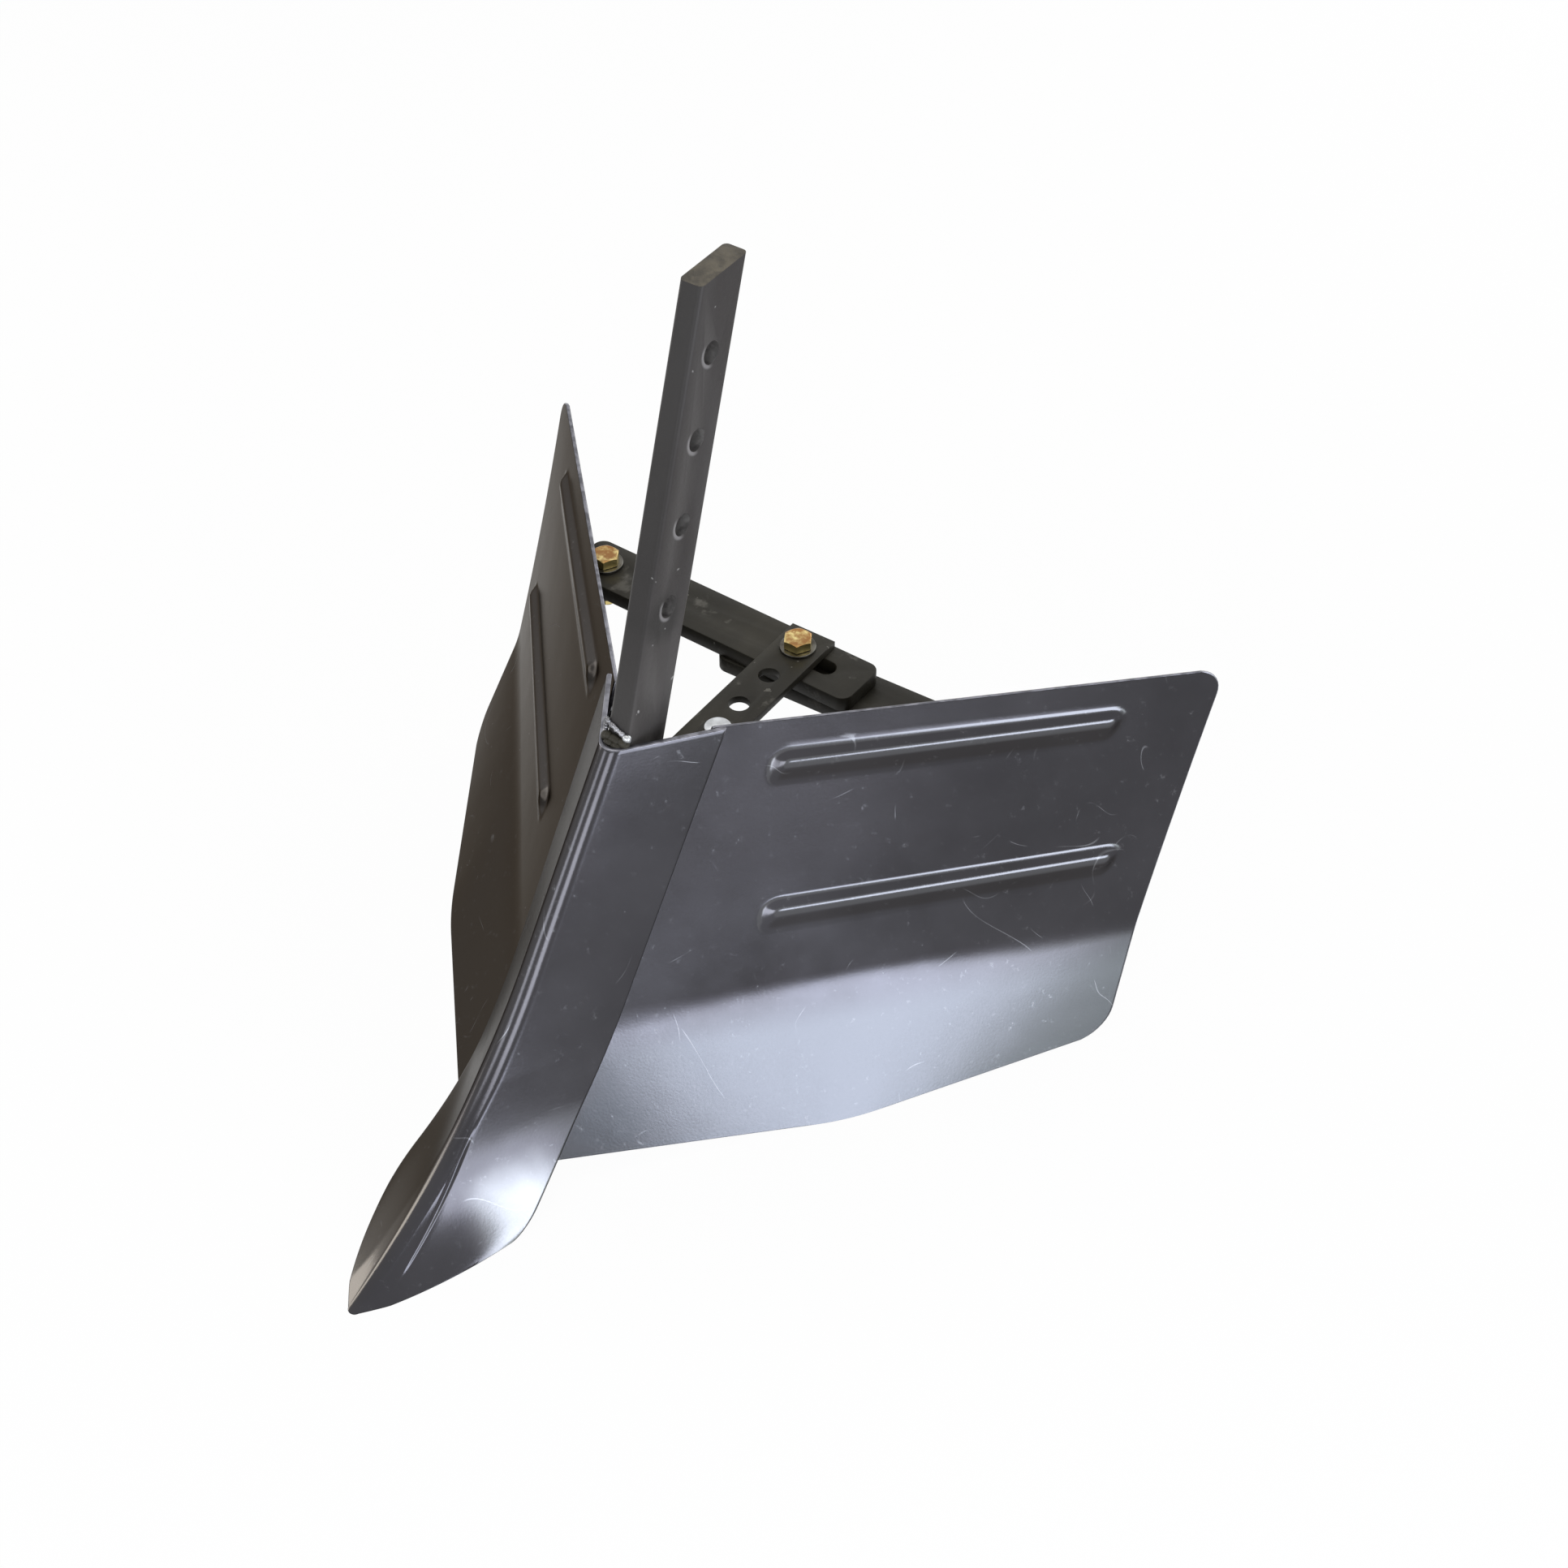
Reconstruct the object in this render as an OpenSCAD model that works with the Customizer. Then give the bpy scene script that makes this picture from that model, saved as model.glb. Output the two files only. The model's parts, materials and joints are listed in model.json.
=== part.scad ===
// Walk-behind ridger: a pointed share on a drilled shank, with two hinged wings and a slotted rear linkage.
// Millimetres. +Z is up, travel is towards -Y, and the part stands on its lower edges at Z = 0.

/* [Share] */
// Height of the nose at the top of the share
share_h = 190; // [170:1:220]
// Place of the tip along the travel direction
tip_y = -213; // [-230:1:-200]
// Slope of the nose at the tip, in degrees from the floor
tip_rake = 18; // [14:1:24]
// Slope of the straight upper part of the nose and of the rear edge
nose_rake = 54; // [50:1:58]
// Radius of the nose curve between those two slopes
nose_arc_r = 280; // [240:1:300]
// Place of the lower rear corner of the share
heel_place_y = -135.5; // [-145:0.5:-125]
// Slope of the rear edge at that corner
heel_rake = 24; // [20:1:28]
// Radius of the rear edge above that corner
heel_arc_r = 229; // [200:1:240]
// Half width of the share at its lower rear corner
heel_half_w = 38; // [34:0.5:42]
// Half width of the share at its waist
waist_half_w = 31.5; // [29:0.5:34]
// Half width of the share at its top
crown_half_w = 34; // [32:0.5:38]
// Height over which the lower corner flares out
flare_h = 40; // [25:1:60]
// Outward curve of the lower edge between the tip and the lower rear corner
heel_bulge = 3; // [0:0.5:5]
// Fall of the top edge from the nose to the rear
crown_drop = 5; // [0:0.5:9]
// Outer radius of the folded nose at the top
nose_fold_r = 7.5; // [6:0.5:9]
// Outer radius of the folded nose at the tip
tip_fold_r = 3.6; // [3.4:0.1:5]
// Thickness of the share, measured level
share_t = 2.4; // [2:0.1:3.2]

/* [Shank] */
// Thickness of the shank bar, across the part
shank_t = 12; // [10:0.5:14]
// Width of the shank bar, fore and aft
shank_w = 32; // [28:1:36]
// Length of the shank bar
shank_len = 327; // [320:1:335]
// Height of the middle of the shank's top end
shank_top_z = 396; // [385:0.5:405]
// Place of the middle of the shank's top end
shank_top_y = 80.1; // [75:0.1:85]
// Backward lean of the shank
shank_lean = 17.3; // [16.5:0.1:18]
// Rounding of the shank's long edges
shank_edge_r = 2.5; // [1:0.5:3]
// Diameter of the fixing holes
shank_hole_d = 11; // [8:0.5:13]
// Distance from the top end to the first hole
shank_hole_first = 37.1; // [30:0.1:45]
// Distance between the holes
shank_hole_pitch = 40; // [30:1:45]
// Number of fixing holes
shank_hole_count = 4; // [3:1:4]

/* [Wings] */
// Half width across the upper rear corners of the wings
wing_top_half_w = 195.5; // [180:0.5:210]
// Place of the upper rear corner
wing_top_y = 213.5; // [205:0.5:225]
// Height of the upper rear corner
wing_top_z = 173.5; // [165:0.5:180]
// Half width across the rear edge at the bend
wing_bend_half_w = 191; // [182:0.5:200]
// Place of the rear edge at the bend
wing_bend_y = 156.5; // [150:0.5:163]
// Height of the bend at the rear edge
wing_bend_z = 47.5; // [42:0.5:55]
// Height of the bend at the share
wing_bend_front_z = 64.5; // [60:0.5:70]
// How much deeper the bend lies behind the share than the top corner
wing_bend_inset = 1.5; // [0:0.5:4]
// Half width across the lower rear corners
wing_foot_half_w = 196.5; // [186:0.5:206]
// Place of the lower rear corner
wing_foot_y = 124.5; // [118:0.5:132]
// Height of the lower rear corner
wing_foot_z = 3; // [0:0.5:6]
// Half width across the knees of the lower edge
wing_knee_half_w = 122; // [115:0.5:130]
// Place of those knees
wing_knee_y = 7.5; // [0:0.5:15]
// Half width at the front end of the lower edge
wing_toe_half_w = 30; // [28:0.5:32]
// Place of the front end of the lower edge
wing_toe_y = -97; // [-102:0.5:-92]
// Height of the front end of the lower edge
wing_toe_z = 12; // [0:0.5:16]
// Thickness of the wing sheet
wing_t = 2; // [1.6:0.1:3]
// Radius of the rear corners
wing_corner_r = 13; // [8:0.5:18]
// How far the wing runs in under the share
wing_lap = 6; // [3:0.5:7]
// Running gap between the share and a wing
lap_gap = 0.6; // [0.4:0.1:1.5]

/* [Wing ribs] */
// Outer radius of a pressed rib
rib_r = 9; // [7:0.5:11]
// How far a rib stands out of the wing
rib_rise = 4.5; // [3:0.5:6]
// Distance from the front edge to the upper rib
rib_start = 36; // [30:0.5:44]
// Length of a rib between the middles of its round ends
rib_len = 155; // [120:1:160]
// How much further back the lower rib lies
rib_setback = 22; // [0:1:26]
// Distance from the top edge down to the upper rib
rib_drop = 19; // [16:0.5:24]
// Distance between the two ribs
rib_pitch = 75; // [50:0.5:85]

/* [Hinges] */
// Half distance between the two hinge pins
hinge_half_w = 22.5; // [21:0.5:25]
// Place of the hinge pins
hinge_y = 45.5; // [44:0.5:48]
// Diameter of a hinge pin
pin_d = 8; // [6:0.5:10]
// Radial clearance of a pin in its holes
pin_fit = 0.05; // [0.02:0.01:0.1]
// Diameter of a pin head
pin_head_d = 12.5; // [12:0.5:16]
// Height of a pin head
pin_head_h = 4; // [2:0.5:6]
// Height of the underside of the upper hinge plate
upper_plate_z = 160; // [157:1:163]
// Height of the underside of the lower hinge plate
lower_plate_z = 108; // [100:1:115]
// Thickness of the hinge plates and lugs
plate_t = 5; // [4:0.5:6]
// Radius of the ears around a pin
ear_r = 10; // [9:0.5:11]
// Width of the arms that carry the ears
arm_w = 6; // [5:0.5:7]
// Metal left around the shank's slot in a hinge plate
arm_edge = 2; // [1.5:0.5:3]
// Width of a lug where it meets the wing
lug_w = 17; // [12:0.5:17]
// Level gap between parts that turn on each other
turn_gap = 0.2; // [0.1:0.05:0.3]
// Diameter of a split pin
split_d = 2; // [1.5:0.1:2.5]

/* [Linkage] */
// Place of the centre bolt
centre_y = 144; // [140:0.5:148]
// Height of the top of the stay
stay_top_z = 141.5; // [138:0.5:146]
// Width of the stay
stay_w = 25; // [20:0.5:30]
// Thickness of the stay
stay_t = 4; // [3:0.5:6]
// Distance from the centre bolt to the rear end of the stay
stay_tail = 14; // [13:0.5:16]
// Diameter of the spare holes in the stay
stay_hole_d = 10.5; // [8:0.5:12]
// Distance between the holes in the stay
stay_hole_pitch = 25; // [20:0.5:28]
// Half distance between the two tab bolts
tab_half_w = 120; // [115:0.5:125]
// Place of the tab bolts
tab_y = 147; // [144:0.5:150]
// Width of a strut
strut_w = 31; // [24:0.5:34]
// Thickness of a strut
strut_t = 8; // [5:0.5:10]
// Length of a strut past the centre bolt
strut_overhang = 39; // [36:0.5:46]
// Length of a strut past its tab bolt
strut_end = 15; // [12:0.5:16]
// Radius of the strut corners
strut_corner_r = 6; // [3:0.5:9]
// Width of the adjusting slot in a strut
slot_w = 10; // [9:0.5:11]
// Travel of the centre bolt along the slot
slot_travel = 17; // [15:0.5:20]
// Thickness of a wing tab
tab_t = 5; // [4:0.5:6]
// Width of a wing tab across its round end
tab_w = 28; // [26:0.5:32]
// Width of a wing tab where it meets the wing
tab_arm_w = 24; // [18:0.5:25]

/* [Fasteners] */
// Thread diameter of the bolts
bolt_d = 8; // [6:0.5:8]
// Width across flats of the bolt heads and nuts
bolt_af = 13; // [11:0.5:14]
// Height of a bolt head
head_h = 5.3; // [4:0.1:7]
// Height of a nut
nut_h = 6.5; // [5:0.1:8]
// Length of thread past a nut
thread_out = 3; // [1:0.5:5]
// Diameter of a washer
washer_d = 18; // [16:0.5:20]
// Thickness of a washer
washer_t = 1.6; // [1:0.1:2]
// Radial clearance of a bolt in a plain hole
bolt_fit = 0.1; // [0.05:0.01:0.3]

/* [Hidden] */
$fn = 48;
fold_steps = 6;
panel_steps = 4;
share_rows = 20;
corner_steps = 5;
steel = [0.22, 0.23, 0.27];
dark_steel = [0.16, 0.155, 0.15];
olive_steel = [0.2, 0.19, 0.16];
zinc = [0.72, 0.74, 0.76];
yellow_zinc = [0.72, 0.56, 0.26];
shank_cos = cos(shank_lean);
shank_tan = tan(shank_lean);
strut_top_left = stay_top_z - stay_t - turn_gap;
strut_top_right = strut_top_left - strut_t - turn_gap;
tab_top_left = strut_top_left - strut_t - turn_gap;
tab_top_right = strut_top_right - strut_t - turn_gap;
lug_top_z = upper_plate_z + 2 * plate_t + turn_gap;
pin_low_z = lower_plate_z - washer_t - 2.5 * split_d;
cut_reach = 90;
weld_gap = 0.05;

function blend(a, b, f) = a + (b - a) * f;
function unit(v) = v / norm(v);

// An edge that starts at y0 on the floor, curves from the low slope to the high one and then runs straight
function edge_y(z, y0, low, high, r) =
    let (arc_h = r * (cos(low) - cos(high)))
    z < arc_h
        ? y0 + r * (sin(acos(cos(low) - z / r)) - sin(low))
        : y0 + r * (sin(high) - sin(low)) + (z - arc_h) / tan(high);
function nose_y(z) = edge_y(z, tip_y, tip_rake, nose_rake, nose_arc_r);
function heel_y(z) = edge_y(z, heel_place_y, heel_rake, nose_rake, heel_arc_r);
function heel_x(z) = waist_half_w
    + (crown_half_w - waist_half_w) * pow(z / share_h, 2)
    + (heel_half_w - waist_half_w) * pow(max(0, 1 - z / flare_h), 2);
function bulge(z) = heel_bulge * pow(max(0, 1 - z / flare_h), 2);
function fold_r(z) = blend(tip_fold_r, nose_fold_r, min(1, z / flare_h / 1.5));

// Half of the share's level section at nose height z, from the nose to the rear edge, at depth d below the outside
function share_half(z, d) =
    let (
        rear_z = z * (1 - crown_drop / share_h),
        rear = [heel_x(rear_z), heel_y(rear_z)],
        r = fold_r(z),
        mid = [0, nose_y(z) + r],
        off = rear - mid,
        half_angle = atan2(off.x, off.y) - asin(r / norm(off)),
        skin_r = max(r - d, 0.2),
        fall = (z - rear_z) / (rear.y - nose_y(z)),
        out = [cos(half_angle), -sin(half_angle)],
        flat = concat(
            [for (i = [0:fold_steps])
                let (a = (90 - half_angle) * i / fold_steps) mid + skin_r * [sin(a), -cos(a)]],
            [for (i = [1:panel_steps])
                let (f = i / panel_steps, start = mid + skin_r * out)
                blend(start, rear - d * out, f) + 4 * f * (1 - f) * bulge(z) * out])
    )
    [for (p = flat) [p.x, p.y, z - fall * (p.y - nose_y(z))]];
function flip(pts) = [for (p = pts) [-p.x, p.y, p.z]];
function reversed(pts) = [for (i = [len(pts) - 1:-1:0]) pts[i]];
function bottom_up(i) = share_h * pow(i / share_rows, 1.4);
function share_skin(z, d) =
    let (half = share_half(z, d))
    concat(reversed(flip(half)), [for (i = [1:len(half) - 1]) half[i]]);

// A closed solid from rings of equal length, capped between ring points that mirror each other
module rings_solid(rings) {
    n = len(rings[0]);
    m = len(rings);
    cap = [for (i = [0:n / 2 - 2]) [i, i + 1, n - 2 - i, n - 1 - i]];
    last = (m - 1) * n;
    polyhedron(
        points = [for (ring = rings) each ring],
        faces = concat(
            [for (j = [0:m - 2], i = [0:n - 1])
                let (k = (i + 1) % n, a = j * n, b = a + n) each [[a + i, b + i, b + k], [a + i, b + k, a + k]]],
            [for (f = cap) each [[f[0], f[1], f[2]], [f[0], f[2], f[3]]]],
            [for (f = cap) each [[last + f[2], last + f[1], last + f[0]], [last + f[3], last + f[2], last + f[0]]]]),
        convexity = 6);
}

module share_solid(from, to) {
    rings_solid([for (i = [0:share_rows])
        concat(share_skin(bottom_up(i), from), reversed(share_skin(bottom_up(i), to)))]);
}

// Everything inside the fold of the share, closed across its rear edges
module share_inside() {
    rings_solid([for (i = [0:share_rows])
        let (skin = share_skin(bottom_up(i), share_t), back = skin[0].y, n = len(skin))
        concat(skin, [for (k = [0:n - 1]) [skin[n - 1 - k].x, back, skin[0].z]])]);
}

// The bar of the shank, grown by g on every side and drawn in its own lean
module shank_bar(g) {
    translate([0, shank_top_y, shank_top_z]) rotate([-shank_lean, 0, 0]) translate([0, 0, -shank_len])
        linear_extrude(shank_len + shank_w * shank_tan)
            rounded_rect(shank_t + 2 * g, shank_w + 2 * g, shank_edge_r + g);
}

module rounded_rect(w, h, r) {
    square([w - 2 * r, h], center = true);
    square([w, h - 2 * r], center = true);
    for (x = [-1, 1], y = [-1, 1]) translate([x * (w / 2 - r), y * (h / 2 - r)]) circle(r);
}

module shank() {
    color(dark_steel) difference() {
        shank_bar(0);
        translate([-shank_t, shank_top_y - shank_w, shank_top_z])
            cube([2 * shank_t, 2 * shank_w, shank_w]);
        translate([0, shank_top_y, shank_top_z]) rotate([-shank_lean, 0, 0])
            for (i = [0:shank_hole_count - 1])
                translate([0, 0, -shank_hole_first - i * shank_hole_pitch]) rotate([0, 90, 0])
                    cylinder(h = 2 * shank_t, d = shank_hole_d, center = true);
    }
}

module share() {
    color(steel) share_solid(0, share_t);
}

function shank_front_y(z) = shank_top_y - shank_w / 2 / shank_cos - (shank_top_z - z) * shank_tan;
function shank_rear_y(z) = shank_front_y(z) + shank_w / shank_cos;

// Upright plate between the two hinge plates, joining the fold of the share to the front of the shank
module share_web() {
    low = lower_plate_z + plate_t;
    color(dark_steel) intersection() {
        share_inside();
        rotate([90, 0, 90]) linear_extrude(shank_t / 2, center = true) polygon([
            [tip_y, low], [shank_front_y(low), low],
            [shank_front_y(upper_plate_z), upper_plate_z], [tip_y, upper_plate_z]]);
    }
}

// Level plate in the fold of the share, with an arm and an ear for each hinge pin and a slot for the shank
module hinge_plate(z) {
    fit_y = heel_y(z) - wing_lap - ear_r;
    arm_in = shank_t / 2 + arm_edge;
    arm_out = arm_in + arm_w;
    rear_y = shank_rear_y(z + plate_t) + arm_edge;
    color(dark_steel) difference() {
        union() {
            intersection() {
                share_inside();
                translate([-cut_reach, tip_y, z]) cube([2 * cut_reach, fit_y - tip_y, plate_t]);
            }
            translate([0, 0, z]) linear_extrude(plate_t) {
                translate([-arm_out, fit_y - arm_w]) square([2 * arm_out, rear_y - fit_y + arm_w]);
                for (x = [-1, 1]) {
                    polygon([
                        [x * arm_in, rear_y - arm_w], [x * arm_out, rear_y - arm_w],
                        [x * (hinge_half_w + 0.8 * ear_r), hinge_y - 0.6 * ear_r],
                        [x * (hinge_half_w - 0.8 * ear_r), hinge_y + 0.6 * ear_r]]);
                    translate([x * hinge_half_w, hinge_y]) circle(ear_r);
                }
            }
        }
        shank_bar(bolt_fit);
        for (x = [-1, 1]) translate([x * hinge_half_w, hinge_y, z - 1])
            cylinder(h = plate_t + 2, d = pin_d + 2 * pin_fit);
    }
}

module upper_hinge_plate() { hinge_plate(upper_plate_z); }
module lower_hinge_plate() { hinge_plate(lower_plate_z); }

// Headed pin through both ears and both lugs of one side, cross-drilled for its split pin
module hinge_pin(side) {
    color(zinc) translate([side * hinge_half_w, hinge_y, 0]) difference() {
        union() {
            translate([0, 0, pin_low_z]) cylinder(h = lug_top_z + turn_gap - pin_low_z, d = pin_d);
            translate([0, 0, lug_top_z + turn_gap]) cylinder(h = pin_head_h, d = pin_head_d);
        }
        split_bore(bolt_fit);
    }
}

module split_bore(g) {
    translate([0, 0, lower_plate_z - washer_t - split_d / 2 - turn_gap]) rotate([0, 90, 0])
        cylinder(h = 2 * pin_d, d = split_d + 2 * g, center = true);
}

module split_pin(side) {
    color(zinc) translate([side * hinge_half_w, hinge_y, 0]) split_bore(0);
}

module pin_washer(side) {
    color(zinc) translate([side * hinge_half_w, hinge_y, lower_plate_z - washer_t])
        washer(pin_d / 2 + bolt_fit);
}

module washer(bore_r) {
    difference() {
        cylinder(h = washer_t, d = washer_d);
        translate([0, 0, -1]) cylinder(h = washer_t + 2, r = bore_r);
    }
}

// Corners of the right wing's outer face, with its front edge just under the rear edge of the share
crown_z = share_h - crown_drop;
seat = share_t + lap_gap;
wing_front_top_sharp = [heel_x(crown_z), heel_y(crown_z), crown_z];
wing_rear_top = [wing_top_half_w, wing_top_y, wing_top_z];
wing_rear_bend = [wing_bend_half_w, wing_bend_y, wing_bend_z];
wing_out = unit(cross(wing_rear_bend - wing_front_top_sharp, wing_rear_top - wing_front_top_sharp));
wing_front_top = wing_front_top_sharp - seat * wing_out;
wing_front_bend =
    [heel_x(wing_bend_front_z), heel_y(wing_bend_front_z), wing_bend_front_z]
    - (seat + wing_bend_inset) * wing_out;
wing_toe = [wing_toe_half_w, wing_toe_y, wing_toe_z];
wing_knee = [wing_knee_half_w, wing_knee_y, 0];
wing_foot = [wing_foot_half_w, wing_foot_y, wing_foot_z];
wing_run = norm(wing_rear_top - wing_front_top);
knee_at = norm(wing_knee - wing_toe) / (norm(wing_knee - wing_toe) + norm(wing_foot - wing_knee));
upper_h = norm(wing_rear_top - wing_rear_bend);
lower_h = norm(wing_rear_bend - wing_foot);

// A point of the wing's outer face: s runs from the share (0) to the rear edge (1), t from the foot (-1)
// over the bend (0) to the top edge (1)
function wing_bend_at(s) = blend(wing_front_bend, wing_rear_bend, s);
function wing_foot_at(s) = s < knee_at
    ? blend(wing_toe, wing_knee, s / knee_at)
    : blend(wing_knee, wing_foot, (s - knee_at) / (1 - knee_at));
function wing_at(s, t) = t < 0
    ? blend(wing_bend_at(s), wing_foot_at(s), -t)
    : blend(wing_bend_at(s), blend(wing_front_top, wing_rear_top, s), t);

// Width of a rib where it leaves the sheet, and the steps across it
rib_half = sqrt(rib_r * rib_r - pow(rib_r - rib_rise, 2));
rib_steps = [-1, -0.8, -0.45, 0, 0.45, 0.8, 1];
rib_s = [rib_start, rib_start + rib_setback] / wing_run;
rib_t = [1, 1] - [rib_drop, rib_drop + rib_pitch] / upper_h;

function sorted(v) = len(v) < 2 ? v
    : let (p = v[0]) concat(sorted([for (x = v) if (x < p) x]), [p], sorted([for (x = v) if (x > p) x]));

// Rows of the wing, closer together at the ribs and at the rounded rear corners
corner_drops = [for (i = [0:corner_steps]) wing_corner_r * (1 - sin(90 * i / corner_steps))];
wing_rows = sorted(concat(
    [for (d = corner_drops) d / lower_h - 1],
    [for (d = corner_drops) 1 - d / upper_h],
    [for (t = rib_t, f = rib_steps) t + f * rib_half / upper_h],
    [-0.4, 0, (rib_t[0] + rib_t[1]) / 2]));

// Columns of the wing, closer together at the ends of the ribs, with one at the knee
wing_cols = sorted(concat(
    [-wing_lap / wing_run, knee_at, 1],
    [for (s = rib_s, f = rib_steps) if (f <= 0) s + f * rib_half / wing_run],
    [for (s = rib_s, f = rib_steps) if (f >= 0) s + (rib_len + f * rib_half) / wing_run]));

// Where a row ends at the rear edge, drawn in at the rounded corners
function rear_s(t) =
    let (d = min((1 - t) * upper_h, (1 + t) * lower_h), in = max(0, wing_corner_r - d))
    1 - (wing_corner_r - sqrt(pow(wing_corner_r, 2) - in * in)) / wing_run;

// Height of a rib's crest above the sheet at a distance from the rib's middle line
function rib_height(d) = d < rib_half ? sqrt(rib_r * rib_r - d * d) - (rib_r - rib_rise) : 0;
function rib_off(s, t, i) =
    let (past = s * wing_run - rib_s[i] * wing_run)
    norm([past - min(max(past, 0), rib_len), (t - rib_t[i]) * upper_h]);
function rib_lift(s, t) = rib_height(min(rib_off(s, t, 0), rib_off(s, t, 1)));

function wing_sheet(d) = [for (t = wing_rows)
    [for (s = wing_cols)
        let (along = s < 1 ? min(s, rear_s(t)) : rear_s(t))
        wing_at(along, t) + (d + rib_lift(s, t)) * wing_out]];

// The wing's sheet between two depths, measured outwards from its outer face
module wing_slab(from, to) {
    rows = len(wing_rows);
    cols = len(wing_cols);
    side = rows * cols;
    grid = [for (j = [0:rows - 2], i = [0:cols - 2]) let (a = j * cols + i) [a, a + 1, a + cols + 1, a + cols]];
    rim = concat(
        [for (i = [0:cols - 2]) [i, i + 1]],
        [for (j = [0:rows - 2]) [j * cols + cols - 1, (j + 1) * cols + cols - 1]],
        [for (i = [0:cols - 2]) [side - 1 - i, side - 2 - i]],
        [for (j = [0:rows - 2]) [(rows - 1 - j) * cols, (rows - 2 - j) * cols]]);
    polyhedron(
        points = concat([for (row = wing_sheet(to)) each row], [for (row = wing_sheet(from)) each row]),
        faces = concat(
            [for (q = grid) each [[q[0], q[2], q[1]], [q[0], q[3], q[2]]]],
            [for (q = grid) each [[side + q[0], side + q[1], side + q[2]], [side + q[0], side + q[2], side + q[3]]]],
            [for (e = rim) each [[e[0], e[1], side + e[1]], [e[0], side + e[1], side + e[0]]]]),
        convexity = 6);
}

module wing_piece() {
    color(steel) wing_slab(-wing_t, 0);
}

module handed(side) {
    if (side < 0) mirror([1, 0, 0]) children();
    else children();
}

// The place on the inside of the wing's upper panel at run s and height z
function inner_t(s, z) =
    let (low = wing_bend_at(s).z, high = wing_at(s, 1).z) (z + wing_t * wing_out.z - low) / (high - low);
function inner_at(s, z) = wing_at(s, inner_t(s, z)) - wing_t * wing_out;

// The run at which a level bracket from a pivot meets the wing squarely, at least one half width from its front edge
function bracket_s(pivot, z, half_w) =
    let (front = inner_at(0, z), run = inner_at(1, z) - front, off = [pivot.x, pivot.y, z] - front)
    max(off * run / (run * run), (half_w - wing_lap) / wing_run);

// Outward direction of the wing's upper panel at a place
function panel_out(s, t) =
    let (along = wing_at(s + 0.01, t) - wing_at(s, t), up = wing_at(s, t + 0.01) - wing_at(s, t))
    unit(cross(along, up));

// Level bracket from a pivot to the inside of the wing, bored for the pivot
module bracket(pivot, z, thick, end_r, arm_w, bore_r) {
    half_w = arm_w / 2;
    s = bracket_s(pivot, z + thick / 2, half_w);
    seat_at = inner_at(s, z + thick / 2);
    out = panel_out(s, inner_t(s, z + thick / 2));
    color(dark_steel) difference() {
        translate([pivot.x, pivot.y, z]) linear_extrude(thick) {
            circle(end_r);
            rotate(atan2(seat_at.y - pivot.y, seat_at.x - pivot.x))
                translate([0, -half_w]) square([cut_reach, 2 * half_w]);
        }
        translate(seat_at - weld_gap * out) rotate([0, acos(out.z), atan2(out.y, out.x)])
            translate([-cut_reach, -cut_reach, 0]) cube([2 * cut_reach, 2 * cut_reach, 2 * cut_reach]);
        translate([pivot.x, pivot.y, z - 1]) cylinder(h = thick + 2, r = bore_r);
    }
}

hinge_place = [hinge_half_w, hinge_y];
module lug_piece(z) { bracket(hinge_place, z, plate_t, ear_r, lug_w, pin_d / 2 + pin_fit); }
module upper_lug(side) { handed(side) lug_piece(upper_plate_z + plate_t + turn_gap); }
module lower_lug(side) { handed(side) lug_piece(lower_plate_z + plate_t + turn_gap); }

function tab_top(side) = side < 0 ? tab_top_left : tab_top_right;
function strut_top(side) = side < 0 ? strut_top_left : strut_top_right;

// Level tab on the inside of the wing, under the outer end of its strut
module tab(side) {
    handed(side)
        bracket([tab_half_w, tab_y], tab_top(side) - tab_t, tab_t, tab_w / 2, tab_arm_w, bolt_d / 2 + bolt_fit);
}

// Bolt with its head on top, down to a length below the head
module bolt(length) {
    cylinder(h = head_h, d = bolt_af / cos(30), $fn = 6);
    translate([0, 0, -length]) cylinder(h = length, d = bolt_d);
}

module nut() {
    difference() {
        cylinder(h = nut_h, d = bolt_af / cos(30), $fn = 6);
        translate([0, 0, -1]) cylinder(h = nut_h + 2, r = bolt_d / 2 + bolt_fit);
    }
}

tab_grip = strut_t + tab_t + turn_gap + 2 * washer_t;
module tab_bolt(side) {
    color(yellow_zinc) translate([side * tab_half_w, tab_y, strut_top(side) + washer_t])
        bolt(tab_grip + nut_h + thread_out);
}
module tab_washers(side) {
    color(zinc) for (z = [strut_top(side), tab_top(side) - tab_t - washer_t])
        translate([side * tab_half_w, tab_y, z]) washer(bolt_d / 2 + bolt_fit);
}
module tab_nut(side) {
    color(yellow_zinc) translate([side * tab_half_w, tab_y, tab_top(side) - tab_t - washer_t - nut_h]) nut();
}

// Flat strut from a wing tab past the centre bolt, with the adjusting slot along its middle
module strut(side) {
    pull = [-tab_half_w, centre_y - tab_y];
    reach = norm(pull);
    length = strut_end + reach + strut_overhang;
    color(olive_steel) handed(side) translate([tab_half_w, tab_y, strut_top(side) - strut_t])
        rotate(atan2(pull.y, pull.x)) difference() {
            translate([length / 2 - strut_end, 0]) linear_extrude(strut_t)
                rounded_rect(length, strut_w, strut_corner_r);
            translate([0, 0, -1]) cylinder(h = strut_t + 2, d = bolt_d + 2 * pin_fit);
            translate([reach, 0, -1]) linear_extrude(strut_t + 2) {
                translate([0, -slot_w / 2]) square([slot_travel, slot_w]);
                for (x = [0, slot_travel]) translate([x, 0]) circle(d = slot_w);
            }
        }
}

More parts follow.
